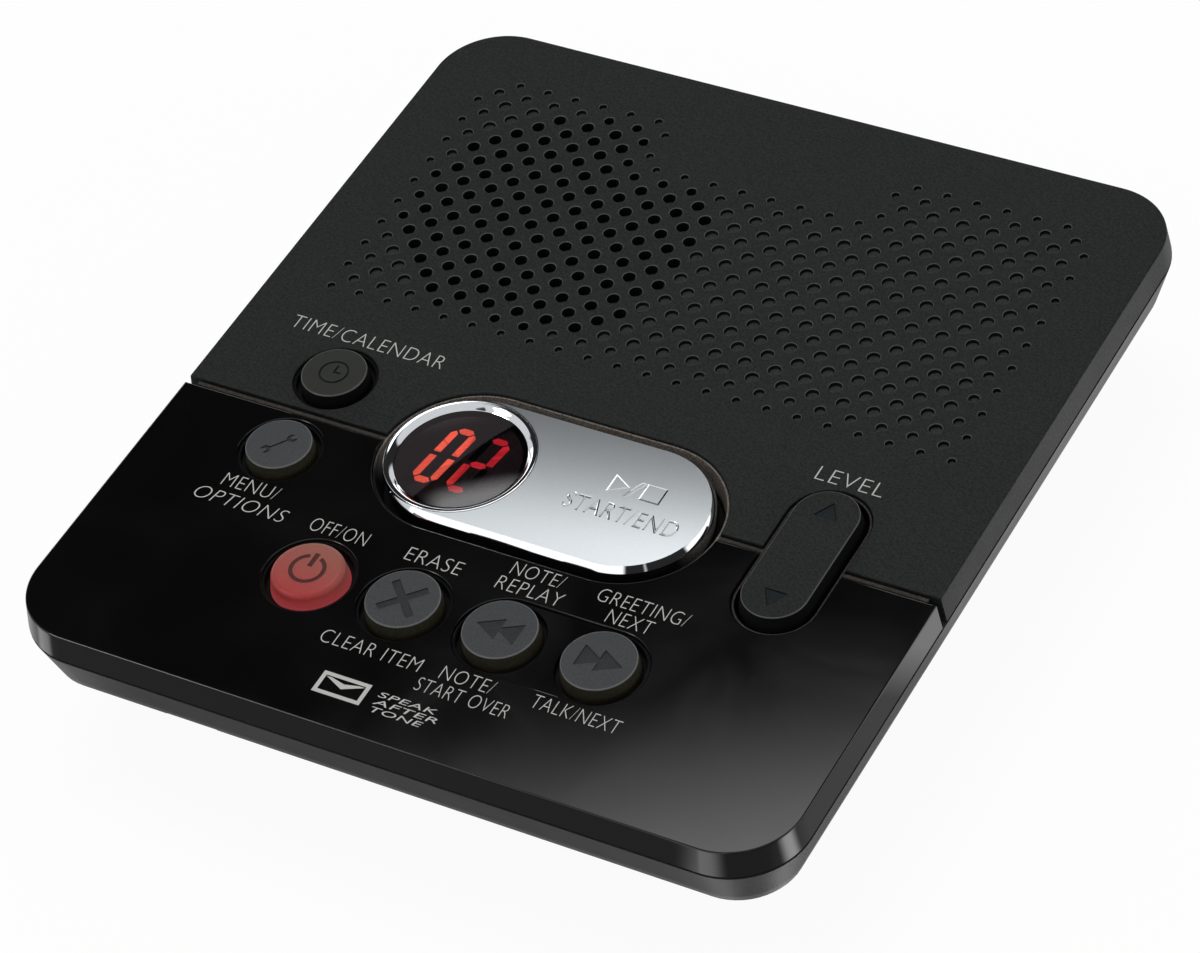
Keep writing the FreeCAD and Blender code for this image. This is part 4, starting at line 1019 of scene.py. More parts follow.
class Palette:
    """Every finish of the machine, by the record's material slot or a name of its own."""

    FINISHES = (
        Moulded("cover_matte", tone(31, 33, 32), 0.5, 0.1, grain_size=0.42, grain_depth=0.03, variation=0.42),
        # painted highlight: a lighter copy of the cover on the holes' lips, for the light that the lip
        # catches
        Moulded("cover_lip_highlight", tone(74, 77, 76), 0.5, 0.3, grain_size=0.42, grain_depth=0.01),
        # painted light: lighter than the cover, to undo the shade in the blind dimples
        Moulded("dimple_floor_painted_light", tone(46, 48, 47), 0.5, 0.1, grain_size=0.42, grain_depth=0.02, variation=0.3),
        Polished("cover_gloss", tone(6, 6, 6), roughness=0.045, specular=0.45),
        Moulded("foot_rubber", tone(30, 30, 31), 0.85, 0.2, grain_size=0.6),
        Metal("ring_chrome", tone(238, 241, 245), roughness=0.035, grain_depth=0.00003, patchy=0.02),
        Moulded("key_rubber", tone(57, 59, 61), 0.6, 0.25, grain_size=0.3, grain_depth=0.012),
        Moulded("key_rubber_dark", tone(34, 36, 33), 0.6, 0.25, grain_size=0.3, grain_depth=0.012),
        Moulded("key_side", tone(40, 38, 28), 0.7, 0.15, grain_size=0.35, grain_depth=0.02, variation=0.3),
        # painted highlight: a lighter copy of the key on its eased edge, for the light that the edge catches
        Moulded("key_rim", tone(84, 87, 88), 0.45, 0.5, grain_size=0.3, grain_depth=0.005),
        # painted highlight on the eased edge of the clock key and the rocker
        Moulded("dark_key_rim_highlight", tone(64, 67, 64), 0.45, 0.5, grain_size=0.3, grain_depth=0.005),
        # painted shade: near-black for hole and well walls, the clock key's and the rocker's sides, the
        # rocker marks' outlines, the ring's parts under the lens, the lens's rim and the display's face
        Moulded("painted_shade_black", tone(9, 9, 9), 0.7, 0.1, grain_size=0.3),
        Metal("satin_edge", tone(226, 230, 233), roughness=0.1, grain_depth=0.00005, patchy=0.02),
        Metal("screw_steel", tone(150, 150, 150), roughness=0.35),
        Moulded("black_plastic", tone(24, 24, 25), 0.5, grain_size=0.5),
        Metal("contact_brass", tone(214, 176, 96), roughness=0.3),
        Moulded("mat_rubber", tone(120, 122, 124), 0.75, grain_size=0.5),
        Moulded("cone_film", tone(34, 33, 32), 0.6, grain_size=0.25, grain_depth=0.03),
        Moulded("segment_unlit", tone(12, 10, 10), 0.7, 0.1, grain_size=0.2),
        Metal("mic_metal", tone(190, 190, 188), roughness=0.3),
        # painted shade: darker than the key, for the shade in the sunk icons
        Moulded("key_icon", tone(44, 47, 48), 0.7, 0.2, grain_size=0.3, grain_depth=0.012),
        Moulded("key_icon_dark", tone(24, 27, 28), 0.7, 0.2, grain_size=0.3),
        Moulded("power_icon", tone(70, 40, 38), 0.6, 0.2, grain_size=0.3),
        Moulded("rocker_icon", tone(18, 25, 28), 0.6, 0.15, grain_size=0.3),
        Moulded("print_grey", tone(184, 183, 180), 0.6, 0.2, grain_size=0.12, grain_depth=0.004,
                variation=0.06),
        Satin(), Lens(), Lit(), RedRubber(), Lamp(), Board(), InnerFrame(), BaseGrey(),
    )

    def __init__(self) -> None:
        """Make every material."""
        effects = Effects()
        self.materials = {finish.name: finish.make(effects) for finish in self.FINISHES}

    def __getitem__(self, name: str) -> Material:
        """Material of that name."""
        return self.materials[name]

    def pick(self, *names: str) -> list[Material]:
        """Materials of those names."""
        return [self.materials[name] for name in names]


def dress_packed_nodes(palette: Palette) -> None:
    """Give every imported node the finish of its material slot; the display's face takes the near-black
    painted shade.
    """
    for node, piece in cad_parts.items():
        for slot in piece.material_slots:
            name = slot.material.name.split(".")[0]
            # the display's face takes the near-black painted shade
            slot.material = palette["painted_shade_black" if node == "display_module" else name]
        log.info("%s: packed solid, finish %s", node, piece.material_slots[0].material.name)


# ---- covers -----------------------------------------------------------------------------------
@dataclass(frozen=True)
class Grille:
    """Staggered holes of the rear cover: open over the speaker, blind dimples elsewhere."""

    pitch: float = 2.75
    row: float = 2.8
    half_cols: int = 21
    half_rows: int = 10
    notch_cols: int = 8
    notch_row: int = 6
    radii: tuple[float, float, float] = (0.58, 0.8, 1.02)
    from_rear: float = 40.0
    open_inset: float = 1.75
    chamfer: float = 0.1
    draft: float = 0.14
    dimple: float = 0.68
    sides: int = 18

    def sites(self, rear: float) -> tuple[Array, Array, Array]:
        """Centres, radii and openness of the holes.

        The holes are the places of a lattice whose column and row add up to an odd number, less a
        notch at the rear edge; a hole is smaller the nearer it lies to the pattern's border.

        Args:
            rear: Y of the top face's rear edge.

        Returns:
            (holes, 2) centres, (holes,) radii and (holes,) whether a hole goes through.
        """
        cols, rows = np.meshgrid(
            np.arange(-self.half_cols, self.half_cols + 1), np.arange(-self.half_rows, self.half_rows + 1)
        )
        beside = np.minimum(self.half_rows - rows, np.abs(cols) - self.notch_cols)
        to_rear = np.maximum(beside, self.notch_row - rows)
        depth = np.minimum(np.minimum(self.half_cols - np.abs(cols), rows + self.half_rows), to_rear)
        corner = (np.abs(cols) == self.half_cols) & (rows == self.half_rows)
        chosen = ((rows + cols) % 2 == 1) & (depth >= 0) & ~corner
        y = rear - self.from_rear + rows[chosen] * self.row
        centres = np.column_stack([cols[chosen] * self.pitch, y])
        rim = depth[chosen]
        radii = np.array(self.radii)[np.minimum(rim, len(self.radii) - 1)]
        speaker = Box.of("speaker_basket")
        reach = speaker.radius - self.open_inset
        through = (np.hypot(*(centres - speaker.middle[:2]).T) < reach) & (rim > 0)
        return centres, radii, through

    def cut(self, shell: Shell, case: Case) -> tuple[tuple[Array, Array], tuple[Array, Array]]:
        """Add the lips, walls and floors of the holes: the lips in a painted highlight, the walls in
        near-black painted shade and the blind floors in a lighter painted light.

        Args:
            shell: the cover.
            case: outline and levels.

        Returns:
            Centres and radii of the openings in the top, and of those in the underside.
        """
        centres, radii, through = self.sites(case.half_d)
        mouth = radii + self.draft
        lip = case.deck - np.stack([0 * radii, self.chamfer + 0 * radii])
        floor = case.deck - np.where(through, case.plate, self.dimple)
        # lips in a painted highlight, walls in near-black painted shade, blind floors in a lighter painted
        # light
        shell.tubes(centres, np.stack([mouth + self.chamfer, mouth]), lip, self.sides, slot=2)
        shell.tubes(centres, np.stack([mouth, radii]), np.stack([lip[1], floor]), self.sides, slot=1)
        shell.discs(centres[~through], radii[~through], case.deck - self.dimple, self.sides, slot=3)
        return (centres, mouth + self.chamfer), (centres[through], radii[through])


@dataclass
class Cover:
    """One of the two covers: a shallow moulded lid, open below, with wells for what comes through."""

    case: Case
    side: Side
    round_wells: list[tuple[float, float, float]] = field(default_factory=list)
    pair: Slot | None = None
    grille: Grille | None = None
    step: float = 0.5
    near: float = 1.0
    ease_steps: int = 4
    well_steps: int = 80
    slots: tuple[tuple[Slot, float], ...] = field(init=False)

    def __post_init__(self) -> None:
        """Place the two slots that cross the groove."""
        self.slots = ((play_slot(), PLAY_WELL_R), (rocker_slot(), ROCKER_WELL_R))

    def depths(self) -> Array:
        """Depths of the plate's levels: the rounded edges, the ledge and the underside."""
        eased = ease_depths(self.case.edge, self.ease_steps)
        return np.concatenate([eased, [self.case.ledge, self.case.plate]])

    def cut(self, depth: float) -> float:
        """Y of the groove's edge at that depth below the deck."""
        ease = float(rounding(np.array(depth), self.case.ease))
        return self.case.groove(self.side) + self.side.value * ease

    def paired(self, well: tuple[float, float, float]) -> bool:
        """Whether the well lies in the recess that joins two of them."""
        if self.pair is None or well[1] != self.pair.y:
            return False
        return abs(well[0] - self.pair.x) < self.pair.half + self.near

    def wall(self, shell: Shell) -> None:
        """Outer wall with its rounded top edge, the lower rim, the inner wall and the ends at the groove."""
        case, height = self.case, self.case.deck - self.case.parting
        depths = np.concatenate([self.depths(), [height - case.lip, height]])
        grow = case.growth(depths)
        grow[-1] = case.flare - case.lip
        outer = [case.path(g, self.cut(d), self.side) for g, d in zip(grow, depths)]
        shell.stack(outer, case.deck - depths)
        inner = case.path(-case.wall, self.cut(case.plate), self.side)
        shell.stack([outer[-1], inner, inner], np.array([case.parting, case.parting, case.deck - case.plate]))
        for end in (0, -1):
            shell.stack([np.array([line[end], inner[end]]) for line in outer[-3:]], case.deck - depths[-3:])

    def groove_faces(self, shell: Shell) -> None:
        """Faces of the plate along the groove, between the slots and the outer wall."""
        case, depths = self.case, self.depths()
        ease = rounding(depths, case.ease)
        cuts = np.array([self.cut(d) for d in depths])
        outer = case.half_w + case.growth(depths)
        inner = np.full(len(depths), case.half_w - case.wall)
        (play, play_r), (rocker, rocker_r) = self.slots
        play_edge = np.array([play.width_at(play_r + e, c) for e, c in zip(ease, cuts)])
        left, right = rocker.x - rocker_r - ease, rocker.x + rocker_r + ease
        for span in ((-outer, -inner, -play_edge), (play_edge, left), (right, inner, outer)):
            across = np.stack(span, axis=1)
            along = np.broadcast_to(cuts[:, None], across.shape)
            level = np.broadcast_to((case.deck - depths)[:, None], across.shape)
            shell.grid(np.stack([across, along, level], axis=-1))

    def slot_walls(self, shell: Shell) -> None:
        """Walls of the play key's and the rocker's slots."""
        depths = self.depths()
        ease = rounding(depths, self.case.ease)
        for slot, radius in self.slots:
            paths = [slot.part(radius + e, self.cut(d), self.side) for e, d in zip(ease, depths)]
            shell.stack(paths, self.case.deck - depths)

    def wells(self, shell: Shell) -> None:
        """Stepped wells of the round keys, and the recess that joins two of them."""
        levels = self.case.deck - self.depths()[:-1]
        mouth = rounding(self.case.deck - levels, self.case.ease)
        ledge, bottom = self.case.deck - self.case.ledge, self.case.deck - self.case.plate
        eased, below = slice(self.ease_steps), slice(self.ease_steps - 1, None)
        for well in self.round_wells:
            x, y, radius = well
            inner = radius - self.step
            if not self.paired(well):
                profile = np.column_stack([radius + mouth, levels])
                stepped = np.vstack([profile[below], [inner, ledge]])
                shell.lathe(x, y, profile[eased], steps=self.well_steps)
                # below the eased mouth the step and the bore take the near-black painted shade
                shell.lathe(x, y, stepped, slot=1, steps=self.well_steps)
            shell.lathe(x, y, np.array([[inner, ledge], [inner, bottom]]), slot=1, steps=self.well_steps)
        if self.pair is not None:
            paths = [self.pair.loop(ROW_WELL_R + m) for m in mouth]
            shell.stack(paths[eased], levels[eased], closed=True)
            # below the eased mouth the recess's wall takes the near-black painted shade
            shell.stack(paths[below], levels[below], closed=True, slot=1)
            holes = [Slot(x, y).loop(r - self.step) for x, y, r in filter(self.paired, self.round_wells)]
            shell.sheet([self.pair.loop(ROW_WELL_R)], ledge, holes)

    def face(self, shell: Shell, depth: float, grow: float, wells: list[Array], ease: float,
             holes: tuple[Array, Array] | None) -> None:
        """Flat top or underside of the plate.

        Args:
            shell: the piece.
            depth: depth below the deck.
            grow: growth of the outline there.
            wells: closed outlines of the wells.
            ease: growth of the two slots there.
            holes: centres and radii of the grille's holes there, if any.
        """
        cut, level = self.cut(depth), self.case.deck - depth
        outline = self.case.path(grow, cut, self.side)
        openings = [slot.part(radius + ease, cut, self.side) for slot, radius in self.slots] + wells
        if holes is None:
            shell.sheet([outline], level, openings)
            return
        centres, radii = holes
        rounds = list(rings(centres, radii, self.grille.sides))
        within = radii * math.cos(math.pi / self.grille.sides) * 0.999

        def keep(points: Array) -> Array:
            """Inside the outline and outside every opening."""
            away = points[:, None, :2] - centres[None]
            clear = (np.hypot(away[..., 0], away[..., 1]) > within[None]).all(axis=1)
            return clear & inside(points, [outline]) & ~inside(points, openings)

        shell.plate([outline] + openings + rounds, level, keep)

    def build(self, finishes: list[Material], node: str, slot: str) -> bpy.types.Object:
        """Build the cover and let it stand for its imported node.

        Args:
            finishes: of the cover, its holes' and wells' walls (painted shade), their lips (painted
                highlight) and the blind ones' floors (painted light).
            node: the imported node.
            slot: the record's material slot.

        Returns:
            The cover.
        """
        case, shell = self.case, Shell(f"{node}_moulding")
        self.wall(shell)
        self.groove_faces(shell)
        self.slot_walls(shell)
        self.wells(shell)
        single = [well for well in self.round_wells if not self.paired(well)]
        mouths = [Slot(x, y).loop(r + case.ease) for x, y, r in single]
        if self.pair is not None:
            mouths.append(self.pair.loop(ROW_WELL_R + case.ease))
        bores = [Slot(x, y).loop(r - self.step) for x, y, r in self.round_wells]
        top, bottom = self.grille.cut(shell, case) if self.grille else (None, None)
        self.face(shell, 0.0, -case.edge, mouths, case.ease, top)
        self.face(shell, case.plate, -case.wall, bores, 0.0, bottom)
        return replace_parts(shell.build(finishes, "housing", slot), node)


# ---- keys -------------------------------------------------------------------------------------
class Icon(Enum):
    """What is sunk into the top of a key."""

    POWER = "power"
    CROSS = "cross"
    BACK = "back"
    FORWARD = "forward"
    CLOCK = "clock"
    SPANNER = "spanner"


def band_loop(outer: float, inner: float, start: float, end: float, steps: int = 40) -> Array:
    """Curved band: an arc of the outer radius and back along one of the inner radius."""
    angles = np.radians(np.linspace(start, end, steps))
    return np.vstack([circle_points(0, 0, outer, angles), circle_points(0, 0, inner, angles[::-1])])


def bar_loop(x0: float, y0: float, x1: float, y1: float) -> Array:
    """Rectangle between two corners."""
    return np.array([[x0, y0], [x1, y0], [x1, y1], [x0, y1]])


def cross_loop(length: float, width: float) -> Array:
    """Cross with arms along the diagonals: one arm's three corners, turned by quarters."""
    a, w = length / 2, width / 2
    arm = np.array([(w, w), (w, a), (-w, a)])
    return np.vstack([turned(arm, 45.0 + quarter) for quarter in (0.0, 90.0, 180.0, 270.0)])


def arrows_loop(length: float = 4.2, height: float = 4.6, offset: float = 3.4, shift: float = 0.35) -> Array:
    """Two triangles that point right and overlap, as one outline about the key's axis."""
    half = height / 2
    waist = half * (1 - offset / length)
    upper = np.array([(offset + length, 0), (offset, half), (offset, waist), (0, half)])
    loop = np.vstack([(upper * [1, -1])[:0:-1], upper])
    return soften(loop - [(offset + length) / 2 - shift, 0], 0.22)


def spanner_loop(length: float = 6.4, handle: float = 0.34, jaw: float = 0.86, mouth: float = 0.46) -> Array:
    """Double-ended spanner along X: a thin bar with a ring open outward at each end."""
    half = length / 2 - jaw
    neck = math.asin(handle / 2 / jaw)
    top = circle_points(half, 0, jaw, np.linspace(math.pi - neck, math.radians(32.0), 14))
    bite = circle_points(half + 0.3, 0, mouth, np.radians(np.linspace(130.0, 230.0, 10)))
    end = np.vstack([top, bite, top[::-1] * [1, -1]])
    return np.vstack([end, -end])


def icon_loops(icon: Icon) -> list[Array]:
    """Closed outlines of an icon about the key's axis."""
    if icon is Icon.POWER:
        return [band_loop(3.1, 2.4, 111.0, 429.0), bar_loop(-0.42, 0.55, 0.42, 3.45)]
    if icon is Icon.CROSS:
        return [cross_loop(8.5, 1.4)]
    if icon is Icon.FORWARD:
        return [arrows_loop()]
    if icon is Icon.BACK:
        return [(arrows_loop() * [-1, 1])[::-1]]
    if icon is Icon.CLOCK:
        hands = np.array([(-0.2, 1.6), (-0.2, -0.2), (1.2, -0.2), (1.2, 0.2), (0.2, 0.2), (0.2, 1.6)])
        return [circle_points(0, 0, radius, full_turn(48)) for radius in (2.6, 2.2)] + [hands]
    return [turned(spanner_loop(), 52.0)]


@dataclass
class RoundKey:
    """Rubber key cap with a drafted side, an eased top edge and a sunk icon."""

    case: Case
    node: str
    icon: Icon
    draft: float = 0.4
    flange: float = 0.9
    ease: float = 0.2
    engraving: float = 0.2
    seat: float = 1.8
    skirt: float = 1.65

    def build(self, finishes: list[Material], slot: str) -> bpy.types.Object:
        """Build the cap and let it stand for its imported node.

        Args:
            finishes: of the top, the icon, the side and the eased edge.
            slot: the record's material slot.

        Returns:
            The cap.
        """
        box = Box.of(self.node)
        x, y = box.spot
        rim, top = box.radius, box.top
        low = rim - self.flange
        top_radius = low - self.draft
        seat = self.case.deck - self.seat
        rim_top = seat - self.skirt
        rim_foot = rim_top - self.flange
        depths = ease_depths(self.ease)
        edge = np.column_stack([top_radius - rounding(depths, self.ease), top - depths])
        side = [edge[-1], [low, seat], [low, rim_top], [rim, rim_top], [rim, rim_foot], [0.0, rim_foot]]
        loops = [loop + [x, y] for loop in icon_loops(self.icon)]
        floor = top - self.engraving
        shell = Shell(f"{self.node}_cap")
        # the eased edge takes the fourth finish, a painted highlight on the grey keys
        shell.lathe(x, y, edge, slot=3)
        shell.lathe(x, y, np.array(side), slot=2)
        shell.sheet([Slot(x, y, steps=48).loop(top_radius - self.ease)], top, loops)
        # the icon's floor and walls take the second finish, painted shade on the grey keys
        shell.sheet(loops, floor, slot=1)
        shell.fence(loops, top, floor, slot=1)
        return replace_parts(shell.build(finishes, self.node, slot), self.node)


@dataclass
class PlayKey:
    """Satin bar with a polished bevel that bows a little, bitten out round the display ring."""

    case: Case
    bevel_w: float = 0.7
    bevel_h: float = 1.1
    bow: float = 0.02
    ring_gap: float = 0.15
    tip: float = 7.2
    depth: float = 4.0
    steps: int = 40

    def __post_init__(self) -> None:
        """Read the key's extent and the ring's circle."""
        self.box, ring = Box.of("play_key"), Box.of("display_ring")
        self.ring_x, self.y = ring.spot
        self.bite = ring.radius + self.ring_gap
        self.radius = float(self.box.high[0]) - PLAY_HALF

    def tip_x(self, radius: float) -> float:
        """X of the tips where the outline has that radius: the cut, or where the bite ends the bar."""
        a, b = -PLAY_HALF, self.ring_x
        meet = (radius**2 - self.bite**2 - a**2 + b**2) / (2 * (b - a))
        return max(self.ring_x - self.tip, meet)

    def outer(self, radius: float) -> Array:
        """Outline from the rear tip round the right end to the front tip."""
        quarter = math.pi / 2
        lean = math.acos((self.tip_x(radius) + PLAY_HALF) / radius)
        t = np.linspace(0.0, 1.0, self.steps)
        rear = circle_points(-PLAY_HALF, self.y, radius, lean + (quarter - lean) * t)
        end = circle_points(PLAY_HALF, self.y, radius, np.linspace(quarter, -quarter, 2 * self.steps))
        front = circle_points(-PLAY_HALF, self.y, radius, -quarter + (quarter - lean) * t)
        return np.vstack([rear, end, front])

    def inner(self, radius: float) -> Array:
        """The bite's arc between the same tips, from the rear one to the front one."""
        lean = math.acos((self.tip_x(radius) - self.ring_x) / self.bite)
        return circle_points(self.ring_x, self.y, self.bite, np.linspace(lean, -lean, 2 * self.steps))

    def build(self, finishes: list[Material]) -> bpy.types.Object:
        """Build the bar from the finishes of its top and its edge, and let it stand for its node."""
        top, foot = self.box.top, self.case.deck - self.depth
        t = np.linspace(0.0, 1.0, 7)
        bow = self.bow * 4.0 * t * (1.0 - t)
        radii = np.append(self.radius - self.bevel_w * (1.0 - t) + bow * self.bevel_h, self.radius)
        levels = np.append(top - self.bevel_h * t + bow * self.bevel_w, foot)
        outer, inner = [self.outer(r) for r in radii], [self.inner(r) for r in radii]
        shell = Shell("play_key_bar")
        shell.stack(outer, levels, slot=1)
        shell.stack(inner, levels, slot=1)
        for end in (0, -1):
            shell.stack([np.array([a[end], b[end]]) for a, b in zip(outer, inner)], levels, slot=1)
        for row, level, slot in ((0, top, 0), (-1, foot, 1)):
            shell.sheet([np.vstack([outer[row], inner[row][::-1]])], level, slot=slot)
        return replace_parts(shell.build(finishes, "play_key", "key_satin", crease=22.0), "play_key")


@dataclass
class Rocker:
    """Two-way rocker: a drafted slot shape with an eased edge and two sunk triangles."""

    case: Case
    half: float = 8.65
    draft: float = 0.7
    ease: float = 0.16
    skirt: float = 2.0
    engraving: float = 0.12
    # width of the ring of near-black painted shade round each mark
    outline: float = 0.17
    mark_w: float = 4.1
    mark_h: float = 3.5
    mark_y: float = 10.1

    def build(self, finishes: list[Material]) -> bpy.types.Object:
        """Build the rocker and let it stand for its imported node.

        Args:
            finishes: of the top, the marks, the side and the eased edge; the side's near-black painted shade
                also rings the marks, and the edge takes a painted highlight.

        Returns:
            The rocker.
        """
        box = Box.of("volume_rocker")
        slot = Slot(*box.spot, self.half, upright=True, steps=48)
        base, top, waist = box.radius, box.top, self.case.deck - self.case.plate
        low, floor = waist - self.skirt, top - self.engraving
        depths = ease_depths(self.ease)
        radii = np.concatenate([base - self.draft - rounding(depths, self.ease), [base, base]])
        levels = np.concatenate([top - depths, [waist, low]])
        eased, side = slice(ROUND_STEPS), slice(ROUND_STEPS - 1, None)
        up = soften(np.array([(-self.mark_w / 2, 0), (self.mark_w / 2, 0), (0, self.mark_h)]), 0.3)
        shift = self.mark_y - self.mark_h / 2
        loops = [up + [slot.x, slot.y + shift], up * [1, -1] + [slot.x, slot.y - shift]]
        marks = [grown(loop, -self.outline) for loop in loops]
        shell = Shell("volume_rocker_cap")
        # the eased edge takes a painted highlight, the side the near-black painted shade
        for part, finish in ((eased, 3), (side, 2)):
            shell.stack([slot.loop(r) for r in radii[part]], levels[part], closed=True, slot=finish)
        shell.sheet([slot.loop(radii[0])], top, loops)
        # a ring of near-black painted shade round each mark
        shell.sheet(loops, floor, marks, slot=2)
        shell.sheet(marks, floor, slot=1)
        shell.fence(loops, top, floor, slot=2)
        shell.sheet([slot.loop(base)], low, slot=2)
        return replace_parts(shell.build(finishes, "volume_rocker", "cover_matte"), "volume_rocker")


# ---- display ----------------------------------------------------------------------------------
@dataclass
class Display:
    """Polished ring with a rounded land and a funnel, the domed lens in it and the lit digits below."""

    land: float = 0.6
    crest: float = 0.12
    shelf: float = 0.7
    lens_t: float = 0.87
    # width of the lens's rim in near-black painted shade
    black_rim: float = 0.9
    fit: float = 0.05
    # the gap beside the lens, in near-black painted shade
    gap_black: float = 0.08
    rise: float = 0.31
    digit_h: float = 13.1
    digit_w: float = 4.6
    pitch: float = 6.3
    slant: float = 8.0
    bar: float = 1.25
    cut: float = 0.24
    waist: float = 0.46
    soft: float = 0.08

    def ring(self, finishes: list[Material]) -> None:
        """Ring: a crest rounded to its outside, a funnel down to the lens, a shelf and the outer wall."""
        ring, lens = Box.of("display_ring"), Box.of("display_lens")
        outer, top, foot = ring.radius, ring.top, ring.foot
        lens_r, seat = lens.radius + self.fit, lens.foot
        rim, bore = seat + self.lens_t, lens_r - self.shelf
        neck, mouth = lens_r + self.gap_black, outer - self.land
        turns = np.linspace(0.0, math.pi / 2, 8)
        crest_r = outer - self.crest * (1.0 - np.sin(turns))
        crest = np.column_stack([crest_r, top - self.crest * (1.0 - np.cos(turns))])
        t = np.linspace(0.0, 1.0, 7)
        funnel = np.column_stack([mouth + (neck - mouth) * t, top + (rim - top) * t**1.15])
        # the ring's parts under and beside the lens, the gap included, take the near-black painted shade
        hidden = [
            [neck, rim], [lens_r, rim - self.fit], [lens_r, seat],
            [bore, seat], [bore, foot], [outer, foot],
        ]
        shell = Shell("display_ring_polished")
        shell.lathe(*ring.spot, np.vstack([funnel[::-1], crest, [[outer, foot]]]), steps=LATHE_STEPS)
        shell.lathe(*ring.spot, np.array(hidden), slot=1, steps=LATHE_STEPS)
        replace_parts(shell.build(finishes, "housing", "ring_chrome"), "display_ring")

    def lens(self, finishes: list[Material]) -> bpy.types.Object:
        """Lens: a dome whose height falls off with the square of the radius, on a rim blackened as painted
        shade.
        """
        lens = Box.of("display_lens")
        radius, low = lens.radius, lens.foot
        rim, clear = low + self.lens_t, radius - self.black_rim
        t = np.linspace(0.0, 1.0, 14)
        dome = np.column_stack([radius * t, rim + self.rise * (1.0 - t**2)])
        shell = Shell("display_lens_dome")
        # the rim's side and the ring below it take the near-black painted shade
        for profile, slot in (
            (dome, 0), (np.array([[radius, rim], [radius, low], [clear, low]]), 1),
            (np.array([[clear, low], [0.0, low]]), 0),
        ):
            shell.lathe(*lens.spot, profile, slot, LATHE_STEPS)
        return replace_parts(shell.build(finishes, "housing", "lens_smoked"), "display_lens")

    def digit_bars(self, names: str, shift: float) -> list[Array]:
        """Outlines of the named bars of one slanted digit about the display's middle.

        Level bars are pointed at both ends, upright ones only at the digit's top or foot.

        Args:
            names: letters of the bars, a at the top and then clockwise, g in the middle.
            shift: X of the digit's middle.

        Returns:
            One outline for each bar.
        """
        half_h, half_w, b = (self.digit_h - self.bar) / 2, (self.digit_w - self.bar) / 2, self.bar / 2
        tip = half_w - self.cut
        level = np.array([(-tip, 0), (b - tip, -b), (tip - b, -b), (tip, 0), (tip - b, b), (b - tip, b)])
        end = half_h - self.cut
        upright = np.array([(-b, self.waist), (b, self.waist), (b, end - b), (0, end), (-b, end - b)])
        places = {
            "a": level + [0, half_h], "g": level, "d": level - [0, half_h],
            "f": upright - [half_w, 0], "b": upright + [half_w, 0],
            "e": upright * [1, -1] - [half_w, 0], "c": upright * [1, -1] + [half_w, 0],
        }
        lean = math.tan(math.radians(self.slant))
        return [places[n] + np.outer(places[n][:, 1], [lean, 0]) + [shift, 0] for n in names]

    def digits(self, finish: Material, node: str, left: str, right: str) -> None:
        """Bars of both digits as thin plates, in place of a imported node."""
        box, middle = Box.of(node), Box.of("display_ring").middle[:2]
        bars = self.digit_bars(left, -self.pitch / 2) + self.digit_bars(right, self.pitch / 2)
        loops = [soften(bar + middle, self.soft, 3) for bar in bars]
        shell = solid_signs(f"{node}_bars", loops, box.foot, box.top)
        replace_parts(shell.build([finish], "housing", f"segment_{node.split('_')[0]}"), node)

    def build(self, palette: Palette) -> bpy.types.Object:
        """Build the ring, the digits and the lens; the lens is returned for its own lamp."""
        self.ring(palette.pick("ring_chrome", "painted_shade_black"))
        self.digits(palette["segment_lit"], "lit_segments", "abcdef", "abged")
        self.digits(palette["segment_unlit"], "unlit_segments", "g", "cf")
        return self.lens(palette.pick("lens_smoked", "painted_shade_black"))


# ---- prints -----------------------------------------------------------------------------------
def solid_signs(name: str, loops: list[Array], low: float, high: float) -> Shell:
    """Flat signs with upright sides, between two levels."""
    shell = Shell(name)
    for level in (low, high):
        shell.sheet(loops, level)
    shell.fence(loops, low, high)
    return shell


@dataclass(frozen=True)
class Line:
    """One printed or raised line of generic words, fitted between two X and two Y."""

    words: str
    left: float
    right: float
    low: float
    high: float
    slant: float = 0.0
    weight: float = 0.0


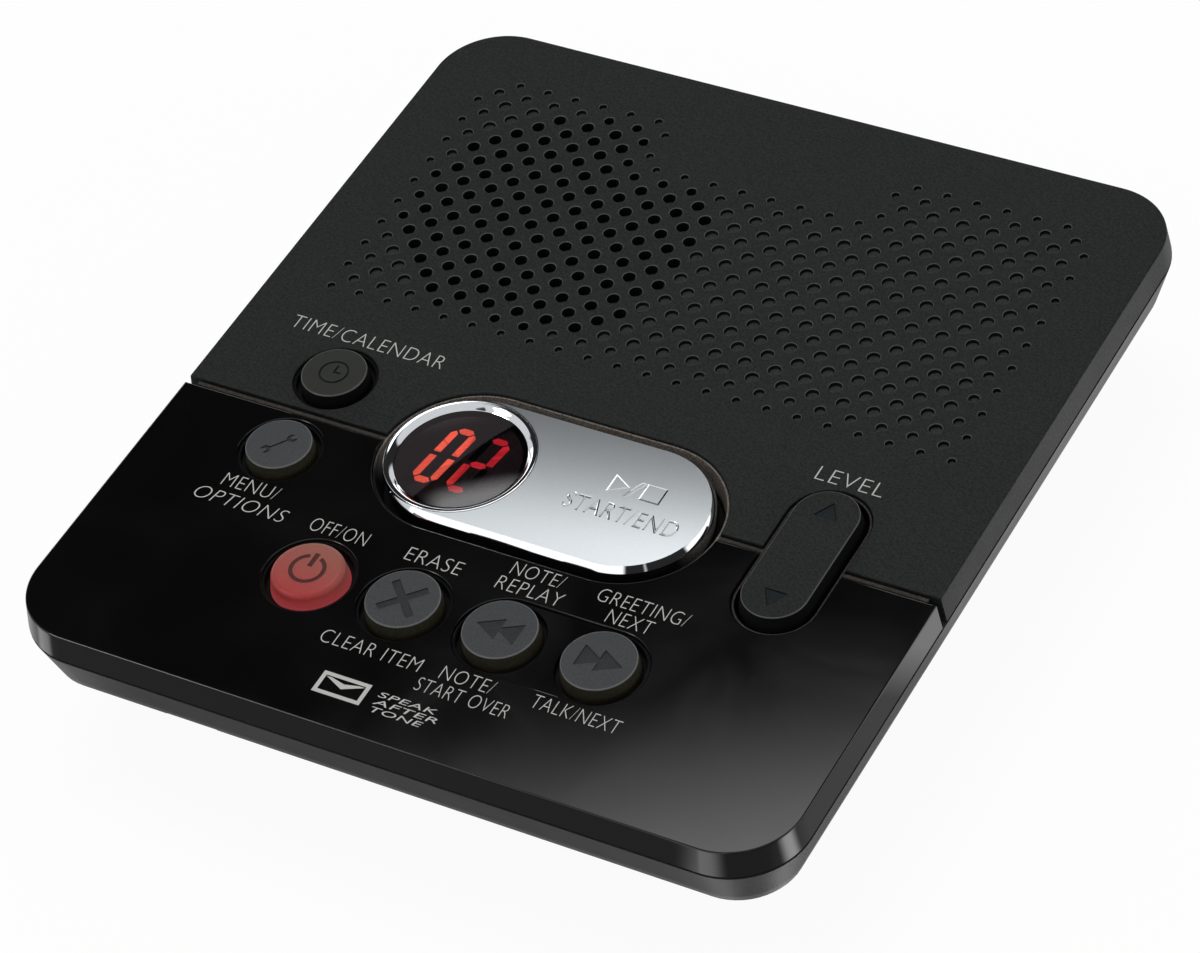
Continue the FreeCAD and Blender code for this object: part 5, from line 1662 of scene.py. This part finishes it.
@dataclass
class Prints:
    """Pale printed words and signs on the covers, and raised ones on the play key."""

    case: Case
    film: float = 0.02
    relief: float = 0.11
    slope: float = 0.22
    bevel: float = 0.042
    thinning: float = 0.023
    bevel_thinning: float = 0.3
    extrude: float = 0.5
    thin_extrude: float = 0.002
    spacing: float = 1.05
    curve_steps: int = 5
    flatness: float = 0.99
    small_x: float = -3.0
    small_y: float = -68.7
    small_h: float = 1.1
    small_pitch: float = 1.55
    lines: tuple[Line, ...] = (
        Line("TIME/CALENDAR", -59.4, -30.0, -2.15, 0.75),
        Line("LEVEL", 39.0, 50.8, -2.3, 0.6),
        Line("MENU/", -50.7, -40.4, -38.3, -35.5),
        Line("OPTIONS", -54.0, -36.9, -42.2, -39.5, slant=12.0),
        Line("OFF/ON", -31.9, -21.4, -41.8, -39.0),
        Line("ERASE", -14.0, -4.0, -41.8, -39.0),
        Line("CLEAR ITEM", -17.8, 0.2, -62.0, -59.3),
        Line("NOTE/", 3.4, 12.6, -38.3, -35.6),
        Line("REPLAY", 2.6, 14.2, -41.8, -39.1),
        Line("NOTE/", 3.9, 13.2, -61.8, -59.1),
        Line("START OVER", 1.4, 17.8, -65.3, -62.6),
        Line("GREETING/", 18.9, 34.7, -38.3, -35.6),
        Line("NEXT", 22.4, 30.2, -41.8, -39.1),
        Line("TALK/NEXT", 20.0, 35.2, -61.7, -59.0),
    )

    def letters(self, name: str, line: Line, level: float, height: float, bevel: float = 0.0) -> Shell:
        """Letters of one line as solid plates.

        The built-in font's outlines, scaled to the line's box, leaned by its slant and raised.

        Args:
            name: name of the piece.
            line: the words and their box.
            level: what the letters stand on.
            height: how far they stand up.
            bevel: width of their sloping edge in the font's units; its faces take the second finish.

        Returns:
            The piece, ready to build.
        """
        curve = bpy.data.curves.new(name, "FONT")
        curve.body = line.words
        curve.extrude = self.thin_extrude if bevel else self.extrude
        curve.bevel_depth, curve.bevel_resolution = bevel, 0
        curve.resolution_u = self.curve_steps
        curve.space_character = self.spacing
        curve.offset = line.weight - self.thinning - self.bevel_thinning * bevel
        holder = bpy.data.objects.new(name, curve)
        mesh = bpy.data.meshes.new_from_object(holder)
        points = np.array([tuple(vertex.co) for vertex in mesh.vertices])
        low, high = points.min(axis=0), points.max(axis=0)
        scale = np.array([line.right - line.left, line.high - line.low, height]) / (high - low)
        placed = (points - low) * scale + [line.left, line.low, level]
        placed[:, 0] += math.tan(math.radians(line.slant)) * (placed[:, 1] - line.low)
        shell = Shell(name)
        shell.points = [placed]
        shell.faces = [list(polygon.vertices) for polygon in mesh.polygons]
        leans = [abs(polygon.normal.z) <= self.flatness for polygon in mesh.polygons]
        shell.slots = [int(bool(bevel) and lean) for lean in leans]
        shell.smooth = [False] * len(mesh.polygons)
        bpy.data.objects.remove(holder)
        bpy.data.curves.remove(curve)
        bpy.data.meshes.remove(mesh)
        return shell

    def reliefs(self, name: str, loops: list[Array], level: float) -> Shell:
        """Solid raised signs with sloping edges, whose feet are wider than their tops."""
        shell = Shell(name)
        feet = [grown(loop, self.slope) for loop in loops]
        levels = np.array([level + self.relief, level, level - self.film])
        shell.sheet(loops, levels[0])
        shell.sheet(feet, levels[2])
        for loop, foot in zip(loops, feet):
            shell.stack([loop, foot, foot], levels, closed=True, slot=1)
        return shell

    def envelope(self, x: float, y: float, width: float, height: float, line: float) -> list[Array]:
        """Outline of an envelope: a frame with a folded flap, drawn with a line of that width."""
        frame_out = bar_loop(x, y, x + width, y + height)
        frame_in = bar_loop(x + line, y + line, x + width - line, y + height - line)
        middle, fold, top, arm = x + width / 2, y + height * 0.42, y + height - line * 1.3, line * 1.5
        left, right = x + line * 1.1, x + width - line * 1.1
        flap = [
            (left, top), (middle, fold), (right, top),
            (right - arm, top), (middle, fold + arm), (left + arm, top),
        ]
        return [frame_out, frame_in, np.array(flap)]

    def printed(self, pale: Material) -> None:
        """Every flat print on the covers."""
        deck = self.case.deck
        for number, line in enumerate(self.lines, 1):
            self.letters(f"print_line_{number}", line, deck, self.film).build([pale], "housing")
        sign = self.envelope(-13.4, -71.4, 8.6, 4.4, 0.7)
        solid_signs("print_envelope", sign, deck, deck + self.film).build([pale], "housing")
        for number, (words, right) in enumerate((("SPEAK", 7.2), ("AFTER", 8.4), ("TONE", 6.2))):
            low = self.small_y - self.small_pitch * number
            line = Line(words, self.small_x, right, low, low + self.small_h, slant=20.0, weight=0.02)
            self.letters(f"print_small_{number + 1}", line, deck, self.film).build([pale], "housing")

    def raised(self, finishes: list[Material]) -> None:
        """The words and signs that stand up from the play key."""
        top = Box.of("play_key").top
        words = Line("START/END", 4.4, 24.6, -23.1, -19.5)
        signs = [
            np.array([(9.9, -17.2), (12.7, -15.6), (9.9, -14.0)]),
            np.array([(13.0, -17.4), (13.45, -17.4), (15.05, -14.0), (14.6, -14.0)]),
            bar_loop(15.7, -17.2, 18.9, -14.0),
        ]
        for shell in (
            self.letters("play_key_words", words, top - self.relief, 2 * self.relief, self.bevel),
            self.reliefs("play_key_signs", signs, top),
        ):
            shell.build(finishes, "play_key", "key_satin")


# ---- studio -----------------------------------------------------------------------------------
@dataclass(frozen=True)
class Patch:
    """Soft-edged part of the surroundings, in degrees of azimuth from +Y towards +X and of elevation."""

    left: float
    right: float
    low: float
    high: float
    soft: float
    level: float


@dataclass(frozen=True)
class Strip:
    """Bright wedge of the floor that gloss mirrors.

    It lies between two directions about a point, in degrees from -Y towards +X.
    """

    x: float
    y: float
    left: float
    right: float
    soft: float
    fade: float
    level: float


@dataclass(frozen=True)
class Softbox:
    """Rectangular soft lamp that faces the machine.

    Its direction is in degrees from +Y towards +X and above the horizon, its distance and size are
    in metres, and a radiance of 1 is white.
    """

    name: str
    azimuth: float
    elevation: float
    distance: float
    width: float
    height: float
    radiance: float

    def light(self) -> bpy.types.Object:
        """The lamp, not yet placed and hidden from the camera."""
        data = bpy.data.lights.new(self.name, "AREA")
        data.shape, data.size, data.size_y = "RECTANGLE", self.width, self.height
        data.energy = self.radiance * math.pi * self.width * self.height
        holder = bpy.data.objects.new(self.name, data)
        holder.visible_camera = False
        bpy.context.scene.collection.objects.link(holder)
        return holder

    def build(self) -> None:
        """Place the lamp, hidden from gloss as well, so that it aims at the machine's middle."""
        a, e = math.radians(self.azimuth), math.radians(self.elevation)
        away = Vector((math.sin(a) * math.cos(e), math.cos(a) * math.cos(e), math.sin(e)))
        holder = self.light()
        holder.location = away * self.distance + Vector((0, 0, 0.03))
        holder.rotation_euler = away.to_track_quat("Z", "Y").to_euler()
        holder.visible_glossy = False


@dataclass(frozen=True)
class Studio:
    """Pale floor, soft lamps, pale surroundings and the camera.

    The floor's level for gloss grows along Y between front_y, and is right_level to the right of
    right_x and behind right_y.
    """

    azimuth: float = 36.0056
    elevation: float = 44.7059
    roll: float = -10.5862
    distance: float = 742.663
    aim: tuple[float, float] = (6.757, -14.317)
    lens: float = 139.758
    sensor: float = 36.0
    floor_reach: float = 4.0
    floor_glow: float = 0.94
    front_y: tuple[float, float] = (-90.0, -70.0)
    front_levels: tuple[float, float] = (0.22, 0.48)
    right_x: tuple[float, float] = (68.0, 74.0)
    right_y: tuple[float, float] = (-12.0, 0.0)
    right_level: float = 1.7
    tent: float = 0.7
    fill: float = 0.45
    card_low: tuple[float, float, float] = (-0.411, 0.627, 0.662)
    card_high: tuple[float, float, float] = (-0.467, 0.497, 0.732)
    card_colour: tuple[float, float, float] = (1.0, 0.86, 0.93)
    card: Softbox = Softbox("lens_card", 0.0, 0.0, 1.0, 0.5, 0.6, 0.42)
    lamps: tuple[Softbox, ...] = (
        Softbox("overhead", -42.0, 72.0, 1.1, 0.8, 0.7, 3.0),
        Softbox("right_side", 100.0, 13.0, 1.2, 0.7, 0.45, 4.4),
        Softbox("left_front", -125.0, 35.0, 1.3, 0.6, 0.6, 1.3),
    )
    patches: tuple[Patch, ...] = (
        Patch(-85.0, 40.0, 14.0, 60.0, 6.0, 0.02),  # dark wall behind
        Patch(-43.0, 2.0, 48.9, 66.0, 3.2, 3.8),  # bright card high behind
        Patch(-120.0, -106.0, 56.0, 71.0, 4.0, 0.04),  # dark card high on the left
        Patch(-141.0, -118.0, 37.0, 50.0, 2.5, 12.0),  # small lamp on the left front
        Patch(-158.0, -130.0, 0.0, 33.0, 3.0, 1.25),  # pale card low on the left front
        Patch(36.0, 88.0, -3.0, 17.0, 4.0, 1.25),  # pale card low on the right rear
        Patch(-172.0, -156.0, 38.0, 52.0, 3.0, 0.05),  # dark card in front
        Patch(-74.0, -8.0, -3.0, 11.0, 3.0, 2.6),  # bright card low behind
        Patch(158.0, 181.0, 0.0, 34.0, 3.0, 1.25),  # pale card in front, right half
        Patch(-181.0, -157.0, 0.0, 34.0, 2.0, 1.25),  # and left half
        Patch(87.0, 165.0, 3.0, 34.0, 6.0, 0.02),  # dark card on the right front
        Patch(139.0, 141.0, 6.0, 30.0, 4.0, 0.7),  # grey streak on it
    )
    strips: tuple[Strip, ...] = (
        Strip(57.0, -65.0, -20.5, 4.0, 9.0, 22.0, 2.5),  # in front of the right corner
        Strip(57.0, -65.0, 81.0, 99.0, 14.0, 14.0, 4.7),  # to the right of it
        Strip(-57.0, -65.0, -96.0, -46.5, 8.0, 9.0, 0.62),  # to the left of the left corner
        Strip(-57.0, -65.0, -67.0, -46.5, 10.0, 9.0, 1.75),  # its front part
    )

    def camera(self, level: float) -> None:
        """Camera that looks at a point of the deck from the given angles, turned about its axis."""
        a, e, lean = (math.radians(angle) for angle in (self.azimuth, self.elevation, self.roll))
        forward = Vector((-math.sin(a) * math.cos(e), math.cos(a) * math.cos(e), -math.sin(e)))
        level_right = Vector((math.cos(a), math.sin(a), 0.0))
        right = math.cos(lean) * level_right + math.sin(lean) * level_right.cross(forward)
        up = right.cross(forward)
        target = Vector((*self.aim, level)) * MM
        data = bpy.data.cameras.new("camera")
        data.lens, data.sensor_width, data.clip_start = self.lens, self.sensor, 0.01
        holder = bpy.data.objects.new("camera", data)
        turn = Matrix((right, up, -forward)).transposed().to_4x4()
        holder.matrix_world = Matrix.Translation(target - forward * self.distance * MM) @ turn
        bpy.context.scene.collection.objects.link(holder)
        bpy.context.scene.camera = holder

    def surroundings(self) -> None:
        """White for what the camera sees; a pale tent with dark and bright cards for gloss.

        Each patch is the product of two soft windows, one over the azimuth and one over the elevation,
        and replaces the tent's level there.
        """
        world = bpy.data.worlds.new("studio")
        world.use_nodes = True
        bpy.context.scene.world = world
        graph = Graph(world.node_tree)
        path = graph.add("ShaderNodeLightPath")
        x, y, z = graph.axes(graph.add("ShaderNodeTexCoord").outputs["Generated"])
        turn = graph.math("DEGREES", graph.math("ARCTAN2", x, y))
        rise = graph.math("DEGREES", graph.math("ARCSINE", z))
        gloss = self.tent
        for patch in self.patches:
            sides = graph.window(turn, patch.left, patch.right, patch.soft, patch.soft)
            ends = graph.window(rise, patch.low, patch.high, patch.soft, patch.soft)
            gloss = graph.mix(graph.times(sides, ends), gloss, patch.level)
        strength = graph.mix(path.outputs["Is Glossy Ray"], self.fill, gloss)
        strength = graph.mix(path.outputs["Is Camera Ray"], strength, 1.0)
        background = world.node_tree.nodes["Background"]
        graph.fill(background, {"Color": (1.0, 1.0, 1.0, 1.0), "Strength": strength})

    def lens_lamp(self, lens: bpy.types.Object) -> None:
        """Card that only the lens mirrors: its straight edge crosses the dome, its far corner glows.

        The edge runs between two mirrored directions and the card lies to their left.

        Args:
            lens: the only piece that it lights.
        """
        low, high = Vector(self.card_low), Vector(self.card_high)
        along = (high - low).normalized()
        out = ((low + high) / 2).normalized()
        across = along.cross(out).normalized()
        across = across if across.x < 0 else -across
        normal = across.cross(along)
        along, normal = (along, normal) if normal.dot(out) > 0 else (-along, -normal)
        display = Vector(Box.of("display_ring").middle.tolist()) * MM
        place = display + out * self.card.distance + across * (self.card.width / 2)
        holder = self.card.light()
        holder.data.color = self.card_colour
        turn = Matrix((across, along, normal)).transposed().to_4x4()
        holder.matrix_world = Matrix.Translation(place) @ turn
        only = bpy.data.collections.new("lens_card_receivers")
        only.objects.link(lens)
        holder.light_linking.receiver_collection = only

    def floor_finish(self) -> Material:
        """White to the camera with a little shadow, and of the mirrored strips' levels to gloss."""
        material = bpy.data.materials.new("floor_white")
        material.use_nodes = True
        graph, nodes = Graph(material.node_tree), material.node_tree.nodes
        nodes.remove(nodes["Principled BSDF"])
        path = graph.add("ShaderNodeLightPath")
        x, y, _ = graph.axes()
        gloss = graph.band(y, *[at * MM for at in self.front_y], *self.front_levels)
        right_x, right_y = (graph.band(at, *[edge * MM for edge in edges]) for at, edges in (
            (x, self.right_x), (y, self.right_y)))
        gloss = graph.mix(graph.times(right_x, right_y), gloss, self.right_level)
        for strip in self.strips:
            aside, ahead = graph.math("SUBTRACT", x, strip.x * MM), graph.math("SUBTRACT", strip.y * MM, y)
            turn = graph.math("DEGREES", graph.math("ARCTAN2", aside, ahead))
            wedge = graph.window(turn, strip.left, strip.right, strip.soft, strip.fade)
            gloss = graph.mix(wedge, gloss, strip.level)
        seen = path.outputs["Is Camera Ray"]
        share = graph.times(graph.math("MAXIMUM", seen, path.outputs["Is Glossy Ray"]), self.floor_glow)
        diffuse = graph.add("ShaderNodeBsdfDiffuse", {"Color": (0.9, 0.9, 0.9, 1.0)})
        glow = {"Color": (1.0, 1.0, 1.0, 1.0), "Strength": graph.mix(seen, gloss, 1.0)}
        white = graph.add("ShaderNodeEmission", glow)
        mix = graph.add("ShaderNodeMixShader", {0: share, 1: diffuse.outputs[0], 2: white.outputs[0]})
        graph.fill(nodes["Material Output"], {"Surface": mix.outputs[0]})
        return material

    def floor(self) -> None:
        """Wide pale floor under the machine."""
        mesh, r = bpy.data.meshes.new("floor"), self.floor_reach
        mesh.from_pydata([(-r, -r, 0), (r, -r, 0), (r, r, 0), (-r, r, 0)], [], [(0, 1, 2, 3)])
        mesh.materials.append(self.floor_finish())
        piece = bpy.data.objects.new("floor", mesh)
        bpy.context.scene.collection.objects.link(piece)

    def build(self, level: float, lens: bpy.types.Object) -> None:
        """Set up the whole studio."""
        bpy.context.scene.view_settings.view_transform = "Standard"
        self.camera(level)
        self.surroundings()
        self.floor()
        for lamp in self.lamps:
            lamp.build()
        self.lens_lamp(lens)


# ---- the machine ------------------------------------------------------------------------------
def cover_parts(case: Case, palette: Palette) -> None:
    """Build both covers."""
    row = [Box.of(f"{name}_key").spot for name in ("power", "erase", "back", "forward")]
    row_y = round(row[2][1], 3)
    back_x, forward_x = row[2][0], row[3][0]
    wells = [(x, row_y, ROW_WELL_R) for x, _ in row] + [(*Box.of("setup_key").spot, SIDE_WELL_R)]
    pair = Slot((back_x + forward_x) / 2, row_y, (forward_x - back_x) / 2)
    # front cover: its wells below the mouth take the near-black painted shade
    Cover(case, Side.FRONT, wells, pair).build(
        palette.pick("cover_gloss", "painted_shade_black"), "front_cover", "cover_gloss")
    # rear cover: hole and well walls in painted shade, lips in a painted highlight, blind floors in painted
    # light
    Cover(case, Side.REAR, [(*Box.of("clock_key").spot, SIDE_WELL_R)], grille=Grille()).build(
        palette.pick("cover_matte", "painted_shade_black", "cover_lip_highlight", "dimple_floor_painted_light"), "rear_cover", "cover_matte")


def key_parts(case: Case, palette: Palette) -> None:
    """Build the keys and the rocker."""
    power = RoundKey(case, "power_key", Icon.POWER, ease=1.0, engraving=0.08)
    power.build(palette.pick("key_red", "power_icon", "key_red", "key_red"), "key_red")
    # grey keys: painted shade in the sunk icons, painted highlight on the eased edge
    pale = palette.pick("key_rubber", "key_icon", "key_side", "key_rim")
    # clock key: its side takes the near-black painted shade, its edge a painted highlight
    dark = palette.pick("key_rubber_dark", "key_icon_dark", "painted_shade_black", "dark_key_rim_highlight")
    for node, icon, finishes in (
        ("erase_key", Icon.CROSS, pale), ("back_key", Icon.BACK, pale), ("forward_key", Icon.FORWARD, pale),
        ("setup_key", Icon.SPANNER, pale), ("clock_key", Icon.CLOCK, dark),
    ):
        RoundKey(case, node, icon).build(finishes, "key_rubber")
    PlayKey(case).build(palette.pick("key_satin", "ring_chrome"))
    # rocker: its side, its underside and the marks' outlines take the near-black painted shade
    Rocker(case).build(palette.pick("cover_matte", "rocker_icon", "painted_shade_black", "dark_key_rim_highlight"))


def main() -> None:
    """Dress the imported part, add the modelled pieces and set up the studio."""
    logging.basicConfig(level=logging.INFO, format="%(message)s")
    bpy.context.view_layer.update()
    case, palette = Case(), Palette()
    dress_packed_nodes(palette)
    cover_parts(case, palette)
    key_parts(case, palette)
    lens = Display().build(palette)
    prints = Prints(case)
    prints.printed(palette["print_grey"])
    prints.raised(palette.pick("key_satin", "satin_edge"))
    Studio().build(case.deck, lens)


if __name__ == "__main__":
    main()
